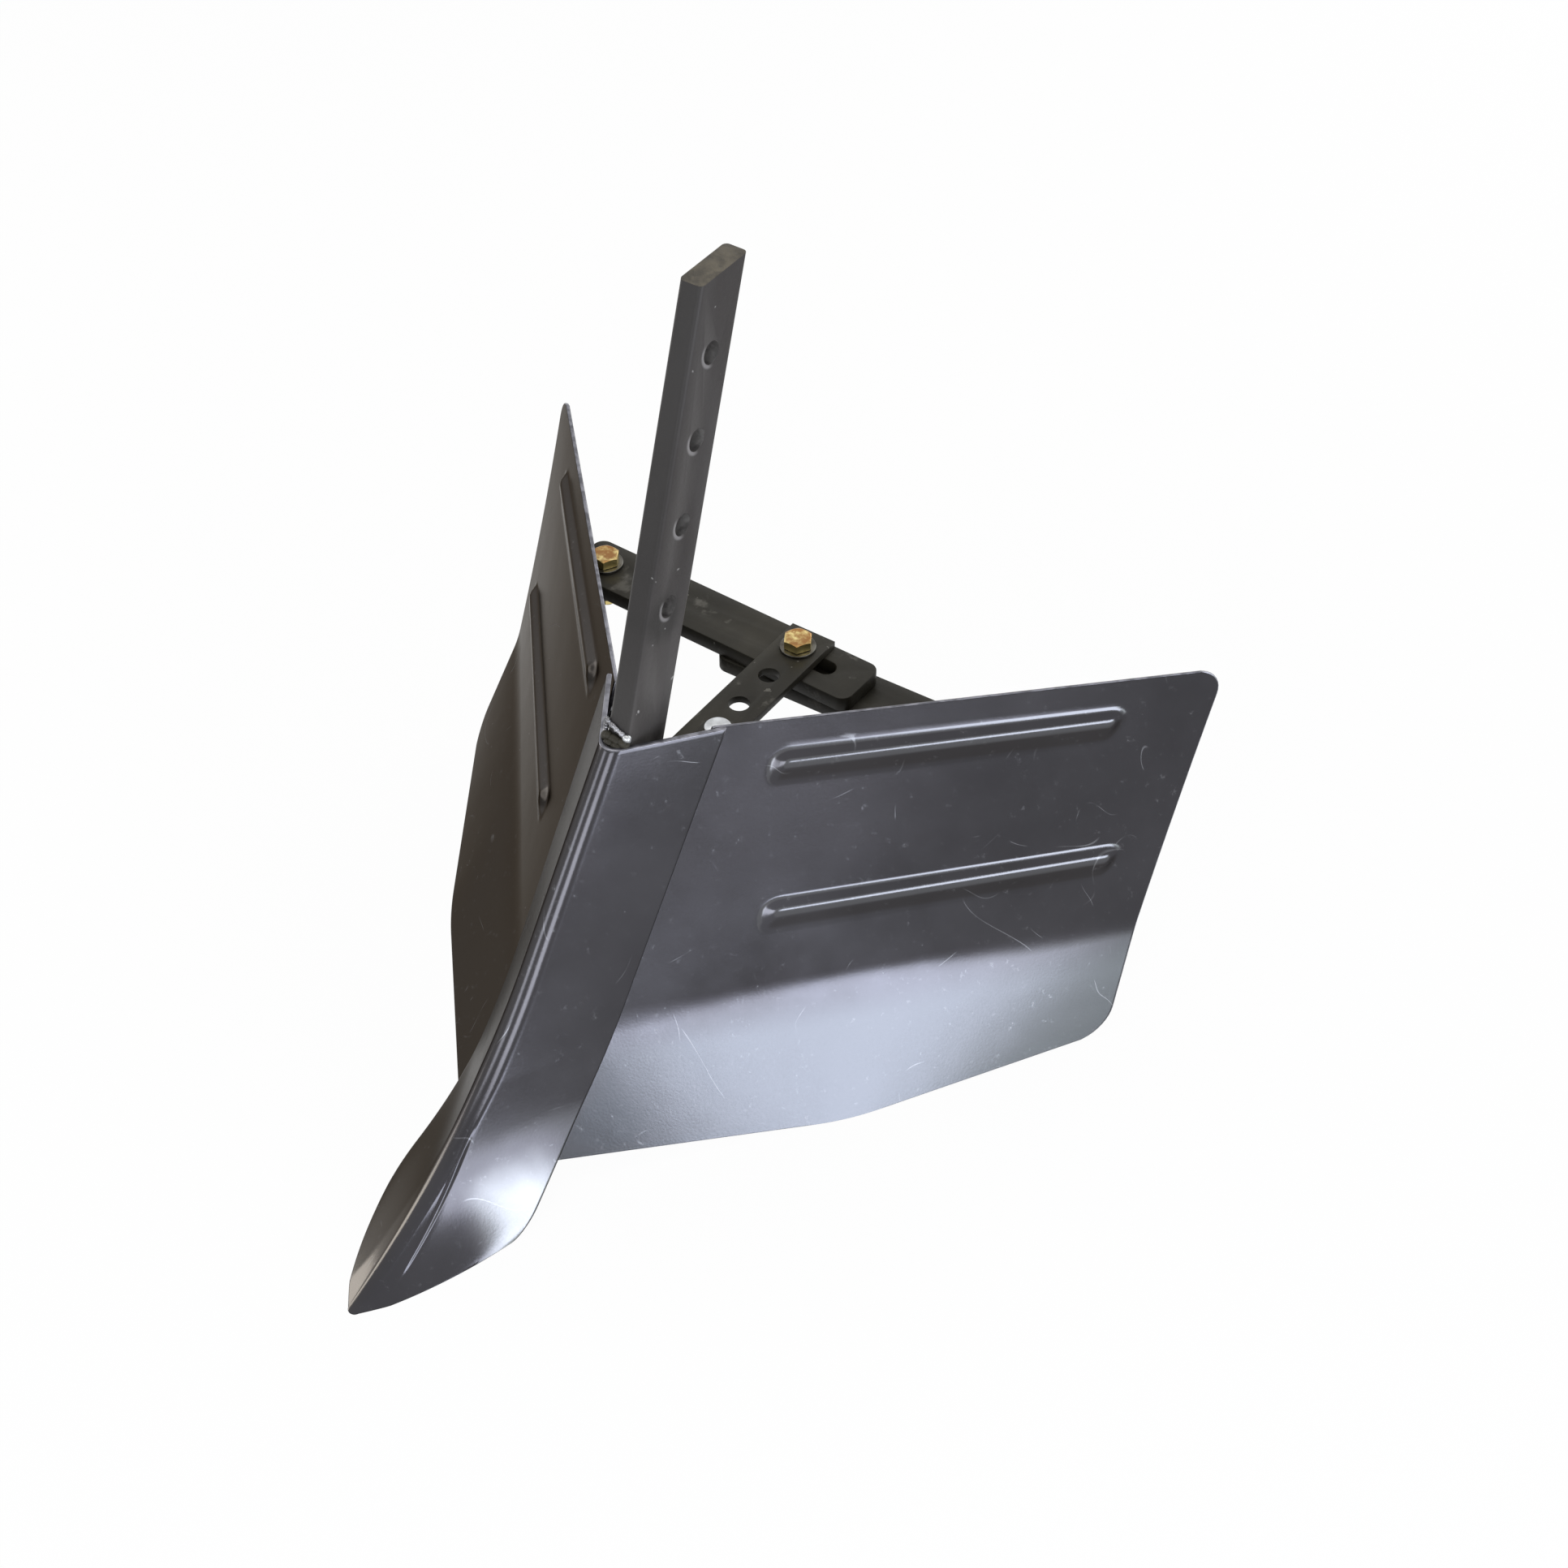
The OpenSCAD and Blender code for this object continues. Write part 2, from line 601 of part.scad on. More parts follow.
module stay() {
    front_y = shank_rear_y(stay_top_z - stay_t);
    holes = floor((centre_y - front_y - stay_w / 2) / stay_hole_pitch);
    color(olive_steel) difference() {
        translate([-stay_w / 2, shank_front_y(stay_top_z), stay_top_z - stay_t])
            cube([stay_w, centre_y + stay_tail - shank_front_y(stay_top_z), stay_t]);
        translate([-stay_w, shank_top_y, shank_top_z]) rotate([-shank_lean, 0, 0])
            translate([0, -cut_reach, -2 * shank_len]) cube([2 * stay_w, cut_reach + shank_w / 2, 3 * shank_len]);
        translate([0, centre_y, 0]) cylinder(h = share_h, d = bolt_d + 2 * bolt_fit);
        for (i = [1:holes]) translate([0, centre_y - i * stay_hole_pitch, 0])
            cylinder(h = share_h, d = stay_hole_d);
    }
}

centre_low_z = strut_top_right - strut_t - turn_gap - washer_t;
module centre_bolt() {
    color(yellow_zinc) translate([0, centre_y, stay_top_z + washer_t])
        bolt(stay_top_z + washer_t - centre_low_z + nut_h + thread_out);
}
module centre_washers() {
    color(zinc) for (z = [stay_top_z, centre_low_z])
        translate([0, centre_y, z]) washer(bolt_d / 2 + bolt_fit);
}
module centre_nut() {
    color(yellow_zinc) translate([0, centre_y, centre_low_z - nut_h]) nut();
}

shank();
share();
share_web();
upper_hinge_plate();
lower_hinge_plate();
hinge_pin(-1);  // left_hinge_pin
hinge_pin(1);  // right_hinge_pin
pin_washer(-1);  // left_pin_washer
pin_washer(1);  // right_pin_washer
split_pin(-1);  // left_split_pin
split_pin(1);  // right_split_pin
handed(-1) wing_piece();  // left_wing
handed(1) wing_piece();  // right_wing
upper_lug(-1);  // left_upper_lug
upper_lug(1);  // right_upper_lug
lower_lug(-1);  // left_lower_lug
lower_lug(1);  // right_lower_lug
tab(-1);  // left_tab
tab(1);  // right_tab
tab_bolt(-1);  // left_tab_bolt
tab_bolt(1);  // right_tab_bolt
tab_washers(-1);  // left_tab_washers
tab_washers(1);  // right_tab_washers
tab_nut(-1);  // left_tab_nut
tab_nut(1);  // right_tab_nut
strut(-1);  // left_strut
strut(1);  // right_strut
stay();
centre_bolt();
centre_washers();
centre_nut();
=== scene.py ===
import json
import math

import bmesh
import bpy
from mathutils import Matrix, Quaternion, Vector

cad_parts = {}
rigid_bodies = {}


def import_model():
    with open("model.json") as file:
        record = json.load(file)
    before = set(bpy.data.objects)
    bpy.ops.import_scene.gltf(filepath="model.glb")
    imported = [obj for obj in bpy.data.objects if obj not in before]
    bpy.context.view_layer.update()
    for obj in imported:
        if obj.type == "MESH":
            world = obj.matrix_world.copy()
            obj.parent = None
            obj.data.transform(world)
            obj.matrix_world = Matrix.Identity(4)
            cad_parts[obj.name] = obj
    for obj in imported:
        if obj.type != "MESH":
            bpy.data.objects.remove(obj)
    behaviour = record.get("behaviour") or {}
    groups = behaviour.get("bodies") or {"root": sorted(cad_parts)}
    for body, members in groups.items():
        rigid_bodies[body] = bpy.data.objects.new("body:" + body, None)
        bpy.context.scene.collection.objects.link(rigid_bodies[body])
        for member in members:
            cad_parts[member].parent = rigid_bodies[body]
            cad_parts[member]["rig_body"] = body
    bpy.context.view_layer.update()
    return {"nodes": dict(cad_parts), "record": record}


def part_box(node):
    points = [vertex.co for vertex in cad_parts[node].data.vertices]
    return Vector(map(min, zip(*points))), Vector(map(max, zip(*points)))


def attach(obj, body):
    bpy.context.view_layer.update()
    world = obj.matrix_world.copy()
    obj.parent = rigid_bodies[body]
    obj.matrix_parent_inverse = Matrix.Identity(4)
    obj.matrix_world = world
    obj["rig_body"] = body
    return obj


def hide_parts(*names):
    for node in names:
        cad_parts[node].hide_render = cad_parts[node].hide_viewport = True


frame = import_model()
cadNodes = frame["nodes"]
sides = {"left": -1, "right": 1}
print("frame loaded:", len(cadNodes), "nodes")


# camera and light, at the photograph's viewing angle

cameraSetup = {
    "target": (0.0, 0.132, 0.0592),
    "azimuth": 34.38,
    "elevation": 43.18,
    "distance": 1.478,
    "focalPixels": 3598,
    "framePixels": 1932,
    "sensor": 36.0,
}

lightSetup = {
    "worldFill": 0.40,
    "lamps": {
        "rightPanel": {"place": (1.456, -0.333, 0.558), "aim": (0.156, 0.147, 0.068), "roll": -49.2,
                       "size": (0.53, 0.89), "watts": 11.3, "colour": (0.85, 0.90, 1.0)},
        "rearPanel": {"place": (1.695, -0.109, 0.144), "aim": (0.395, 0.371, -0.346), "roll": -49.2,
                      "size": (0.52, 0.42), "watts": 1.4, "colour": (0.90, 1.0, 0.97)},
        "frontStrip": {"place": (0.44, -1.27, 0.62), "aim": (0.0, -0.05, 0.1),
                       "size": (0.56, 0.70), "watts": 7.0, "colour": (0.92, 0.95, 1.0)},
        "noseStrip": {"place": (-0.62, -1.17, 0.55), "aim": (0.0, -0.05, 0.1),
                      "size": (0.34, 0.60), "watts": 2.7, "colour": (0.90, 0.94, 1.0)},
        "leftPanel": {"place": (-1.45, -0.25, 0.55), "aim": (-0.1, 0.05, 0.08),
                      "size": (0.9, 0.6), "watts": 5.0, "colour": (1.0, 0.98, 0.95)},
        "backPanel": {"place": (0.25, 1.55, 0.60), "aim": (0.0, 0.15, 0.1),
                      "size": (1.0, 0.6), "watts": 5.0, "colour": (1.0, 1.0, 1.0)},
        "topPanel": {"place": (-0.3, 0.5, 1.7), "aim": (0.0, 0.05, 0.1),
                     "size": (0.8, 0.8), "watts": 6.0, "colour": (1.0, 0.97, 0.93)},
    },
}

floorSetup = {"halfSize": 6.0, "colour": (0.86, 0.86, 0.86), "cameraWhite": 0.96}


def aimAt(thing, place, aim, roll=0.0):
    thing.location = Vector(place)
    thing.rotation_mode = "QUATERNION"
    facing = (Vector(aim) - Vector(place)).to_track_quat("-Z", "Y")
    thing.rotation_quaternion = facing @ Quaternion((0, 0, 1), math.radians(roll))


def linkToScene(thing):
    bpy.context.scene.collection.objects.link(thing)
    return thing


def makeCamera():
    azimuth, elevation = math.radians(cameraSetup["azimuth"]), math.radians(cameraSetup["elevation"])
    back = Vector((math.sin(azimuth) * math.cos(elevation), -math.cos(azimuth) * math.cos(elevation),
                   math.sin(elevation)))
    data = bpy.data.cameras.new("photoCamera")
    data.sensor_width = cameraSetup["sensor"]
    data.lens = cameraSetup["sensor"] * cameraSetup["focalPixels"] / cameraSetup["framePixels"]
    camera = linkToScene(bpy.data.objects.new("photoCamera", data))
    target = Vector(cameraSetup["target"])
    aimAt(camera, target + back * cameraSetup["distance"], target)
    bpy.context.scene.camera = camera


def makeLamp(name):
    setup = lightSetup["lamps"][name]
    data = bpy.data.lights.new(name, "AREA")
    data.shape = "RECTANGLE"
    data.size, data.size_y = setup["size"]
    data.energy = setup["watts"]
    data.color = setup["colour"]
    lamp = linkToScene(bpy.data.objects.new(name, data))
    aimAt(lamp, setup["place"], setup["aim"], setup.get("roll", 0.0))
    lamp.visible_camera = False


# shader tools: a wire wraps a socket, and a finish builds one material

class Wire:
    def __init__(self, finish, socket):
        self.finish = finish
        self.socket = socket

    def __add__(self, other):
        return self.finish.math("ADD", self, other)

    def __sub__(self, other):
        return self.finish.math("SUBTRACT", self, other)

    def __rsub__(self, other):
        return self.finish.math("SUBTRACT", other, self)

    def __mul__(self, other):
        return self.finish.math("MULTIPLY", self, other)

    __radd__ = __add__
    __rmul__ = __mul__


class Finish:
    def __init__(self, name, tree=None):
        self.material = None
        if tree is None:
            self.material = bpy.data.materials.new(name)
            self.material.use_nodes = True
            tree = self.material.node_tree
        self.tree = tree
        self.tree.nodes.clear()

    def node(self, kind, settings=None, sockets=None, out=0):
        made = self.tree.nodes.new(kind)
        for key, value in (settings or {}).items():
            setattr(made, key, value)
        for key, value in (sockets or {}).items():
            if isinstance(value, Wire):
                self.tree.links.new(value.socket, made.inputs[key])
            else:
                made.inputs[key].default_value = value
        return Wire(self, made.outputs[out]) if len(made.outputs) else made

    def math(self, operation, *values):
        return self.node("ShaderNodeMath", {"operation": operation}, dict(enumerate(values)))

    def coords(self):
        return self.node("ShaderNodeTexCoord", out="Object")

    def moved(self, vector, scale=(1, 1, 1), shift=(0, 0, 0)):
        return self.node("ShaderNodeMapping", {}, {"Vector": vector, "Scale": scale, "Location": shift})

    def noise(self, vector, scale, detail, rough=0.55):
        return self.node("ShaderNodeTexNoise", {},
                         {"Vector": vector, "Scale": scale, "Detail": detail, "Roughness": rough})

    def axis(self, vector, letter):
        return self.node("ShaderNodeSeparateXYZ", {}, {0: vector}, out=letter)

    def facing(self, letter):
        # how far the surface itself looks along one axis
        return self.axis(self.node("ShaderNodeNewGeometry", out="Normal"), letter)

    def vectors(self, operation, first, second):
        return self.node("ShaderNodeVectorMath", {"operation": operation}, {0: first, 1: second}, out="Value")

    def step(self, value, low, high):
        return self.node("ShaderNodeMapRange", {"interpolation_type": "SMOOTHSTEP"},
                         {"Value": value, "From Min": low, "From Max": high})

    def mix(self, factor, first, second):
        def colour(value):
            return value if isinstance(value, Wire) else (*value, 1.0)
        return self.node("ShaderNodeMix", {"data_type": "RGBA"},
                         {0: factor, 6: colour(first), 7: colour(second)}, out=2)

    def tones(self, pattern, low, high, colours):
        return self.mix(self.step(pattern, low, high), colours["dark"], colours["light"])

    def wobble(self, vector, scale, amount):
        shove = self.node("ShaderNodeTexNoise", {}, {"Vector": vector, "Scale": scale, "Detail": 2.0},
                          out="Color")
        return self.node("ShaderNodeVectorMath", {"operation": "MULTIPLY_ADD"},
                         {0: shove, 1: (amount, amount, amount), 2: vector})

    def bump(self, height, distance, strength, normal=None):
        sockets = {"Height": height, "Distance": distance, "Strength": strength}
        if normal is not None:
            sockets["Normal"] = normal
        return self.node("ShaderNodeBump", {}, sockets)

    def surface(self, **sockets):
        named = {key.replace("_", " "): value for key, value in sockets.items()}
        shader = self.node("ShaderNodeBsdfPrincipled", {}, named)
        self.node("ShaderNodeOutputMaterial", {}, {"Surface": shader})
        return self.material


# finishes

# each kind of scratch: noise scale, line width, scale of its patches, where a patch starts
scratchKinds = ((9, 0.0022, 21, 0.56), (17, 0.0034, 30, 0.58), (31, 0.0060, 44, 0.60))


def hairlines(f, place, seed):
    # thin curved lines where smooth noise crosses its middle, seen only in patches
    lines = 0.0
    for scale, width, patchScale, low in scratchKinds:
        drift = f.noise(f.moved(place, shift=(seed, scale, 0)), scale, detail=0.6)
        line = 1.0 - f.step(f.math("ABSOLUTE", drift - 0.5), 0.0, width)
        patch = f.noise(f.moved(place, shift=(0, scale, seed)), patchScale, detail=2)
        lines = line * f.step(patch, low, low + 0.1) + lines
    return lines


sheetFinish = {
    # oiled sheet in two tones, with a painted warm reflection on the left side
    "dark": (0.047, 0.046, 0.051), "light": (0.063, 0.062, 0.069), "cloudScale": 11,
    "warm": (0.071, 0.066, 0.062), "warmReflecting": 0.85, "warmReflectionEdge": (-0.012, 0.004),
    "grainScale": 900, "grainBump": {"distance": 0.00006, "strength": 0.25},
    "waveScale": 18, "waveBump": {"distance": 0.004, "strength": 0.07},
    "speckScale": 230, "speckLevel": (0.60, 0.78), "specked": 0.13,
    "rough": {"plain": 0.12, "cloud": 0.08, "grain": 0.06, "speck": 0.1, "marks": 0.12},
    # edge colours of the steel, by sheet, set lower on the left wing and the share's left faces as painted
    # shade
    "grazing": {"left": (0.403, 0.385, 0.365, 1.0), "right": (0.45, 0.45, 0.45, 1.0),
                "share": (0.36, 0.355, 0.35, 1.0), "shareLeft": (0.325, 0.318, 0.311, 1.0)},
    "scratch": (0.42, 0.43, 0.46),
    "scratched": {"left": 0.14, "right": 0.26, "share": 0.36, "shareLeft": 0.20},
    # below the wings' bend the soil wears the sheet bright
    "worn": (0.080, 0.083, 0.092), "bendLevel": (0.040, 0.0605), "bendFall": 0.082,
    # share: a painted highlight on the heel, a ridge beside the fold, painted light on the left flank of the
    # toe
    "heel": (0.150, 0.153, 0.160), "heelHighlightSpot": (0.036, -0.120, 0.008), "heelHighlightSize": (0.010, 0.036),
    "heelHighlightWobble": {"scale": 40, "amount": 0.012},
    "creaseStart": 0.0092, "creaseSlope": -0.11, "creaseWidth": 0.0012,
    "creaseTop": (0.036, 0.050), "creaseLow": (0.003, 0.010),
    "creaseBump": {"distance": 0.0005, "strength": 0.9},
    "flank": (0.120, 0.111, 0.102), "flankLightLevel": (0.020, 0.055),
    # right wing: a painted glow above the bend, painted highlights on the rib crests and upper feet, and
    # painted shade on their lower flanks
    "cloudy": (0.094, 0.095, 0.110), "clouding": 0.9,
    "glowLevel": (0.075, 0.135), "glowEnd": (0.030, 0.115),
    "rubbed": (0.115, 0.117, 0.126), "rubbing": 0.7,
    "crest": (0.82, 0.93), "footStart": (0.004, 0.02), "footEnd": (0.12, 0.25), "upperFlank": (0.29, 0.36),
    "dusty": (0.034, 0.030, 0.027), "dusting": 0.4, "lowerFlank": (0.0, 0.18), "ribStart": (0.01, 0.05),
    # left wing: painted shade at the front ends of the ribs
    "soil": (0.015, 0.0135, 0.012), "soiling": 0.75, "ribEndShadeSize": (0.003, 0.0075),
    "ribEndShadeWobble": {"scale": 90, "amount": 0.004},
    "ribEndShadeSpots": ((-0.0533, 0.0508, 0.1689), (-0.0664, 0.0237, 0.1017)),
}


def paintedRibLight(f, base):
    # painted highlights on the crests and on the upper feet that look up, painted shade on the flanks that look
    # down
    rib = f.node("ShaderNodeAttribute", {"attribute_name": "ribHeight"}, out="Fac")
    upward = f.facing("Z")
    foot = f.step(rib, *sheetFinish["footStart"]) * (1.0 - f.step(rib, *sheetFinish["footEnd"]))
    rubbed = foot * f.step(upward, *sheetFinish["upperFlank"]) + f.step(rib, *sheetFinish["crest"])
    base = f.mix(rubbed * sheetFinish["rubbing"], base, sheetFinish["rubbed"])
    below = (1.0 - f.step(upward, *sheetFinish["lowerFlank"])) * f.step(rib, *sheetFinish["ribStart"])
    return f.mix(below * sheetFinish["dusting"], base, sheetFinish["dusty"])


def shadedRibEnds(f, place, base):
    # painted shade: a dark spot at each listed rib end
    for spot in sheetFinish["ribEndShadeSpots"]:
        away = f.vectors("DISTANCE", f.wobble(place, **sheetFinish["ribEndShadeWobble"]), spot)
        near = 1.0 - f.step(away, *sheetFinish["ribEndShadeSize"])
        base = f.mix(near * sheetFinish["soiling"], base, sheetFinish["soil"])
    return base


def gunmetal(name, seed, sheet):
    f = Finish(name)
    place = f.coords()
    cloud = f.noise(f.moved(place, shift=(seed, 0, 0)), sheetFinish["cloudScale"], detail=5)
    grain = f.noise(place, sheetFinish["grainScale"], detail=2)
    speck = f.step(f.noise(place, sheetFinish["speckScale"], detail=4, rough=0.7), *sheetFinish["speckLevel"])
    marks = hairlines(f, place, seed)
    across, along, height = (f.axis(place, letter) for letter in "XYZ")
    base = f.tones(cloud, 0.3, 0.7, sheetFinish)
    aboveBend = f.step(along * sheetFinish["bendFall"] + height, *sheetFinish["bendLevel"])
    if sheet in sides:
        base = f.mix(1.0 - aboveBend, base, sheetFinish["worn"])
    # painted highlight: a bright patch on the share's heel
    heel = f.vectors("DISTANCE", f.wobble(place, **sheetFinish["heelHighlightWobble"]), sheetFinish["heelHighlightSpot"])
    base = f.mix(1.0 - f.step(heel, *sheetFinish["heelHighlightSize"]), base, sheetFinish["heel"])
    # painted warm reflection: the left side of the sheets is tinted warm
    leftSide = 1.0 - f.step(across, *sheetFinish["warmReflectionEdge"])
    base = f.mix(leftSide * sheetFinish["warmReflecting"], base, sheetFinish["warm"])
    # painted light: the share's left flank is paler towards the toe
    if sheet == "shareLeft":
        base = f.mix(1.0 - f.step(height, *sheetFinish["flankLightLevel"]), base, sheetFinish["flank"])
    if sheet == "right":
        # painted glow: a pale patch low on the front of the upper panel
        low = (1.0 - f.step(height, *sheetFinish["glowLevel"])) * aboveBend
        cloudy = low * (1.0 - f.step(along, *sheetFinish["glowEnd"])) * f.step(cloud, 0.25, 0.75)
        base = paintedRibLight(f, f.mix(cloudy * sheetFinish["clouding"], base, sheetFinish["cloudy"]))
    if sheet == "left":
        base = shadedRibEnds(f, place, base)
    marked = speck * sheetFinish["specked"] + marks * sheetFinish["scratched"][sheet]
    base = f.mix(marked, base, sheetFinish["scratch"])
    weights = sheetFinish["rough"]
    rough = cloud * weights["cloud"] + grain * weights["grain"]
    rough = rough + speck * weights["speck"] + marks * weights["marks"]
    waves = f.bump(f.noise(place, sheetFinish["waveScale"], detail=2), **sheetFinish["waveBump"])
    bumps = f.bump(grain, **sheetFinish["grainBump"], normal=waves)
    if sheet == "share":
        crease = height * sheetFinish["creaseSlope"] + sheetFinish["creaseStart"]
        off = f.math("ABSOLUTE", across - crease)
        ridge = (1.0 - f.step(off, 0.0, sheetFinish["creaseWidth"])) * f.step(height, *sheetFinish["creaseLow"])
        ridge = ridge * (1.0 - f.step(height, *sheetFinish["creaseTop"]))
        bumps = f.bump(ridge, **sheetFinish["creaseBump"], normal=bumps)
    return f.surface(Base_Color=base, Metallic=1.0, Roughness=rough + weights["plain"], Normal=bumps,
                     Specular_Tint=sheetFinish["grazing"][sheet])


insideFinish = {
    "dark": (0.060, 0.058, 0.059), "light": (0.092, 0.088, 0.087), "dust": (0.21, 0.195, 0.17), "dusted": 0.3,
    "pitBump": {"distance": 0.00012, "strength": 0.4},
}


def rawInside(name):
    f = Finish(name)
    place = f.coords()
    cloud = f.noise(place, scale=16, detail=5)
    drift = f.noise(f.wobble(place, scale=10, amount=0.03), scale=48, detail=5, rough=0.62)
    dust = f.step(drift, 0.56, 0.74)
    base = f.tones(cloud, 0.3, 0.7, insideFinish)
    base = f.mix(dust * insideFinish["dusted"], base, insideFinish["dust"])
    pits = f.bump(f.noise(place, scale=420, detail=3), **insideFinish["pitBump"])
    return f.surface(Base_Color=base, Metallic=0.9, Roughness=cloud * 0.18 + dust * 0.12 + 0.32, Normal=pits)


edgeFinish = {
    "dark": (0.11, 0.11, 0.125), "light": (0.24, 0.24, 0.27), "shut": (0.012, 0.012, 0.013), "fade": 0.006,
    "pitBump": {"distance": 0.0001, "strength": 0.4},
}


def cutEdge(name, shadowTop=-1.0):
    # bright only above a level; below it a painted shadow, where another sheet lies close
    f = Finish(name)
    place = f.coords()
    wear = f.noise(place, scale=160, detail=4)
    base = f.tones(wear, 0.35, 0.65, edgeFinish)
    bright = f.step(f.axis(place, "Z"), shadowTop, shadowTop + edgeFinish["fade"])
    base = f.mix(bright, edgeFinish["shut"], base)
    pits = f.bump(f.noise(place, scale=500, detail=2), **edgeFinish["pitBump"])
    return f.surface(Base_Color=base, Metallic=1.0, Roughness=wear * 0.25 + 0.22, Normal=pits)


shankFinish = {
    "dark": (0.035, 0.031, 0.030), "light": (0.052, 0.048, 0.047), "sheen": 0.2,
    "bare": (0.42, 0.41, 0.40), "chipped": 0.6,
    "grime": (0.018, 0.017, 0.016), "grimed": 0.65,
    "patchCentre": (0.0, 0.0334, 0.246), "patchSize": (0.008, 0.017),
    "frontFacing": (-0.8, -0.5), "frontShade": 0.55,
    "rubbed": (0.068, 0.063, 0.061), "paleBelow": (0.195, 0.275),
    "rim": (0.22, 0.21, 0.21), "rimmed": 0.8,
    "pitBump": {"distance": 0.00025, "strength": 0.5},
}

rimForm = {
    "top": (0.0, 0.0801, 0.396), "lean": 17.3, "first": 0.0371, "pitch": 0.040,
    "inside": (0.0048, 0.0055), "outside": (0.0064, 0.0078), "lowerFront": (0.001, 0.005),
    "firstEnd": (0.020, 0.024), "lastEnd": (0.170, 0.176),
}


def holeCrescentHighlight(f, place):
    # painted highlight: lit crescents below the holes, repeated at their pitch along the bar
    lean = math.radians(rimForm["lean"])
    top = Vector(rimForm["top"])
    lengthways = Vector((0, -math.sin(lean), -math.cos(lean)))
    across = Vector((0, math.cos(lean), -math.sin(lean)))
    down = f.vectors("DOT_PRODUCT", place, lengthways) - top.dot(lengthways)
    back = f.vectors("DOT_PRODUCT", place, across) - top.dot(across)
    past = f.math("WRAP", down - rimForm["first"], rimForm["pitch"] / 2, -rimForm["pitch"] / 2)
    away = f.math("SQRT", past * past + back * back)
    ring = f.step(away, *rimForm["inside"]) * (1.0 - f.step(away, *rimForm["outside"]))
    ring = ring * f.step(past * 0.6 - back * 0.8, *rimForm["lowerFront"])
    return ring * f.step(down, *rimForm["firstEnd"]) * (1.0 - f.step(down, *rimForm["lastEnd"]))


def shankPaint(name):
    f = Finish(name)
    place = f.coords()
    cloud = f.noise(f.moved(place, scale=(1, 1, 0.35)), scale=26, detail=5)
    chips = f.step(f.noise(place, scale=95, detail=3, rough=0.62), 0.69, 0.72)
    base = f.tones(cloud, 0.35, 0.7, shankFinish)
    # lighter towards the bottom
    low = 1.0 - f.step(f.axis(place, "Z"), *shankFinish["paleBelow"])
    base = f.mix(low, base, shankFinish["rubbed"])
    # painted shade: faces that look to the front are darker
    front = 1.0 - f.step(f.facing("Y"), *shankFinish["frontFacing"])
    base = f.mix(front * shankFinish["frontShade"], base, shankFinish["grime"])
    # a dark patch round the fourth hole
    side = f.wobble(f.moved(place, scale=(0, 1, 1)), scale=60, amount=0.008)
    grime = 1.0 - f.step(f.vectors("DISTANCE", side, shankFinish["patchCentre"]), *shankFinish["patchSize"])
    base = f.mix(grime * shankFinish["grimed"], base, shankFinish["grime"])
    # painted highlight: pale crescents at the lower front of the holes
    base = f.mix(holeCrescentHighlight(f, place) * shankFinish["rimmed"], base, shankFinish["rim"])
    base = f.mix(chips * shankFinish["chipped"], base, shankFinish["bare"])
    pits = f.bump(f.noise(place, scale=420, detail=3), **shankFinish["pitBump"])
    return f.surface(Base_Color=base, Metallic=0.0, Roughness=cloud * 0.2 + 0.36 + chips * 0.1,
                     Specular_IOR_Level=shankFinish["sheen"], Normal=pits)


boreFinish = {"dark": (0.060, 0.056, 0.054), "light": (0.13, 0.125, 0.12), "sheen": 0.2}


def wornBore(name):
    f = Finish(name)
    wear = f.noise(f.coords(), scale=220, detail=4)
    base = f.tones(wear, 0.35, 0.65, boreFinish)
    return f.surface(Base_Color=base, Metallic=0.0, Roughness=wear * 0.2 + 0.5,
                     Specular_IOR_Level=boreFinish["sheen"])


sawnFinish = {
    "dark": (0.046, 0.040, 0.030), "light": (0.105, 0.092, 0.068),
    "saw": {"Scale": 170.0, "Distortion": 3.0, "Detail": 2.0, "Detail Scale": 1.5},
    "sawBump": {"distance": 0.0002, "strength": 0.6}, "rustBump": {"distance": 0.0015, "strength": 0.5},
}


def sawnSteel(name):
    f = Finish(name)
    place = f.coords()
    lines = f.node("ShaderNodeTexWave", {"bands_direction": "DIAGONAL"},
                   {"Vector": place, **sawnFinish["saw"]}, out="Fac")
    rust = f.noise(place, scale=120, detail=4)
    base = f.tones(rust, 0.35, 0.65, sawnFinish)
    bumps = f.bump(rust, **sawnFinish["rustBump"], normal=f.bump(lines, **sawnFinish["sawBump"]))
    return f.surface(Base_Color=base, Metallic=0.4, Roughness=rust * 0.2 + 0.45, Normal=bumps)


barFinish = {
    "dark": (0.019, 0.017, 0.012), "light": (0.042, 0.038, 0.028), "sheen": 0.2,
    "bare": (0.26, 0.25, 0.22), "scuffed": 0.35, "chipped": 0.5,
    "pitBump": {"distance": 0.0002, "strength": 0.5},
}


def barSteel(name):
    f = Finish(name)
    place = f.coords()
    cloud = f.noise(place, scale=22, detail=5)
    rubs = f.noise(f.wobble(place, scale=12, amount=0.03), scale=60, detail=4, rough=0.6)
    chips = f.step(f.noise(place, scale=130, detail=3), 0.70, 0.73)
    base = f.tones(cloud, 0.35, 0.7, barFinish)
    bare = f.step(rubs, 0.60, 0.72) * barFinish["scuffed"] + chips * barFinish["chipped"]
    base = f.mix(bare, base, barFinish["bare"])
    pits = f.bump(f.noise(place, scale=300, detail=3), **barFinish["pitBump"])
    return f.surface(Base_Color=base, Metallic=0.0, Roughness=cloud * 0.22 + 0.38,
                     Specular_IOR_Level=barFinish["sheen"], Normal=pits)


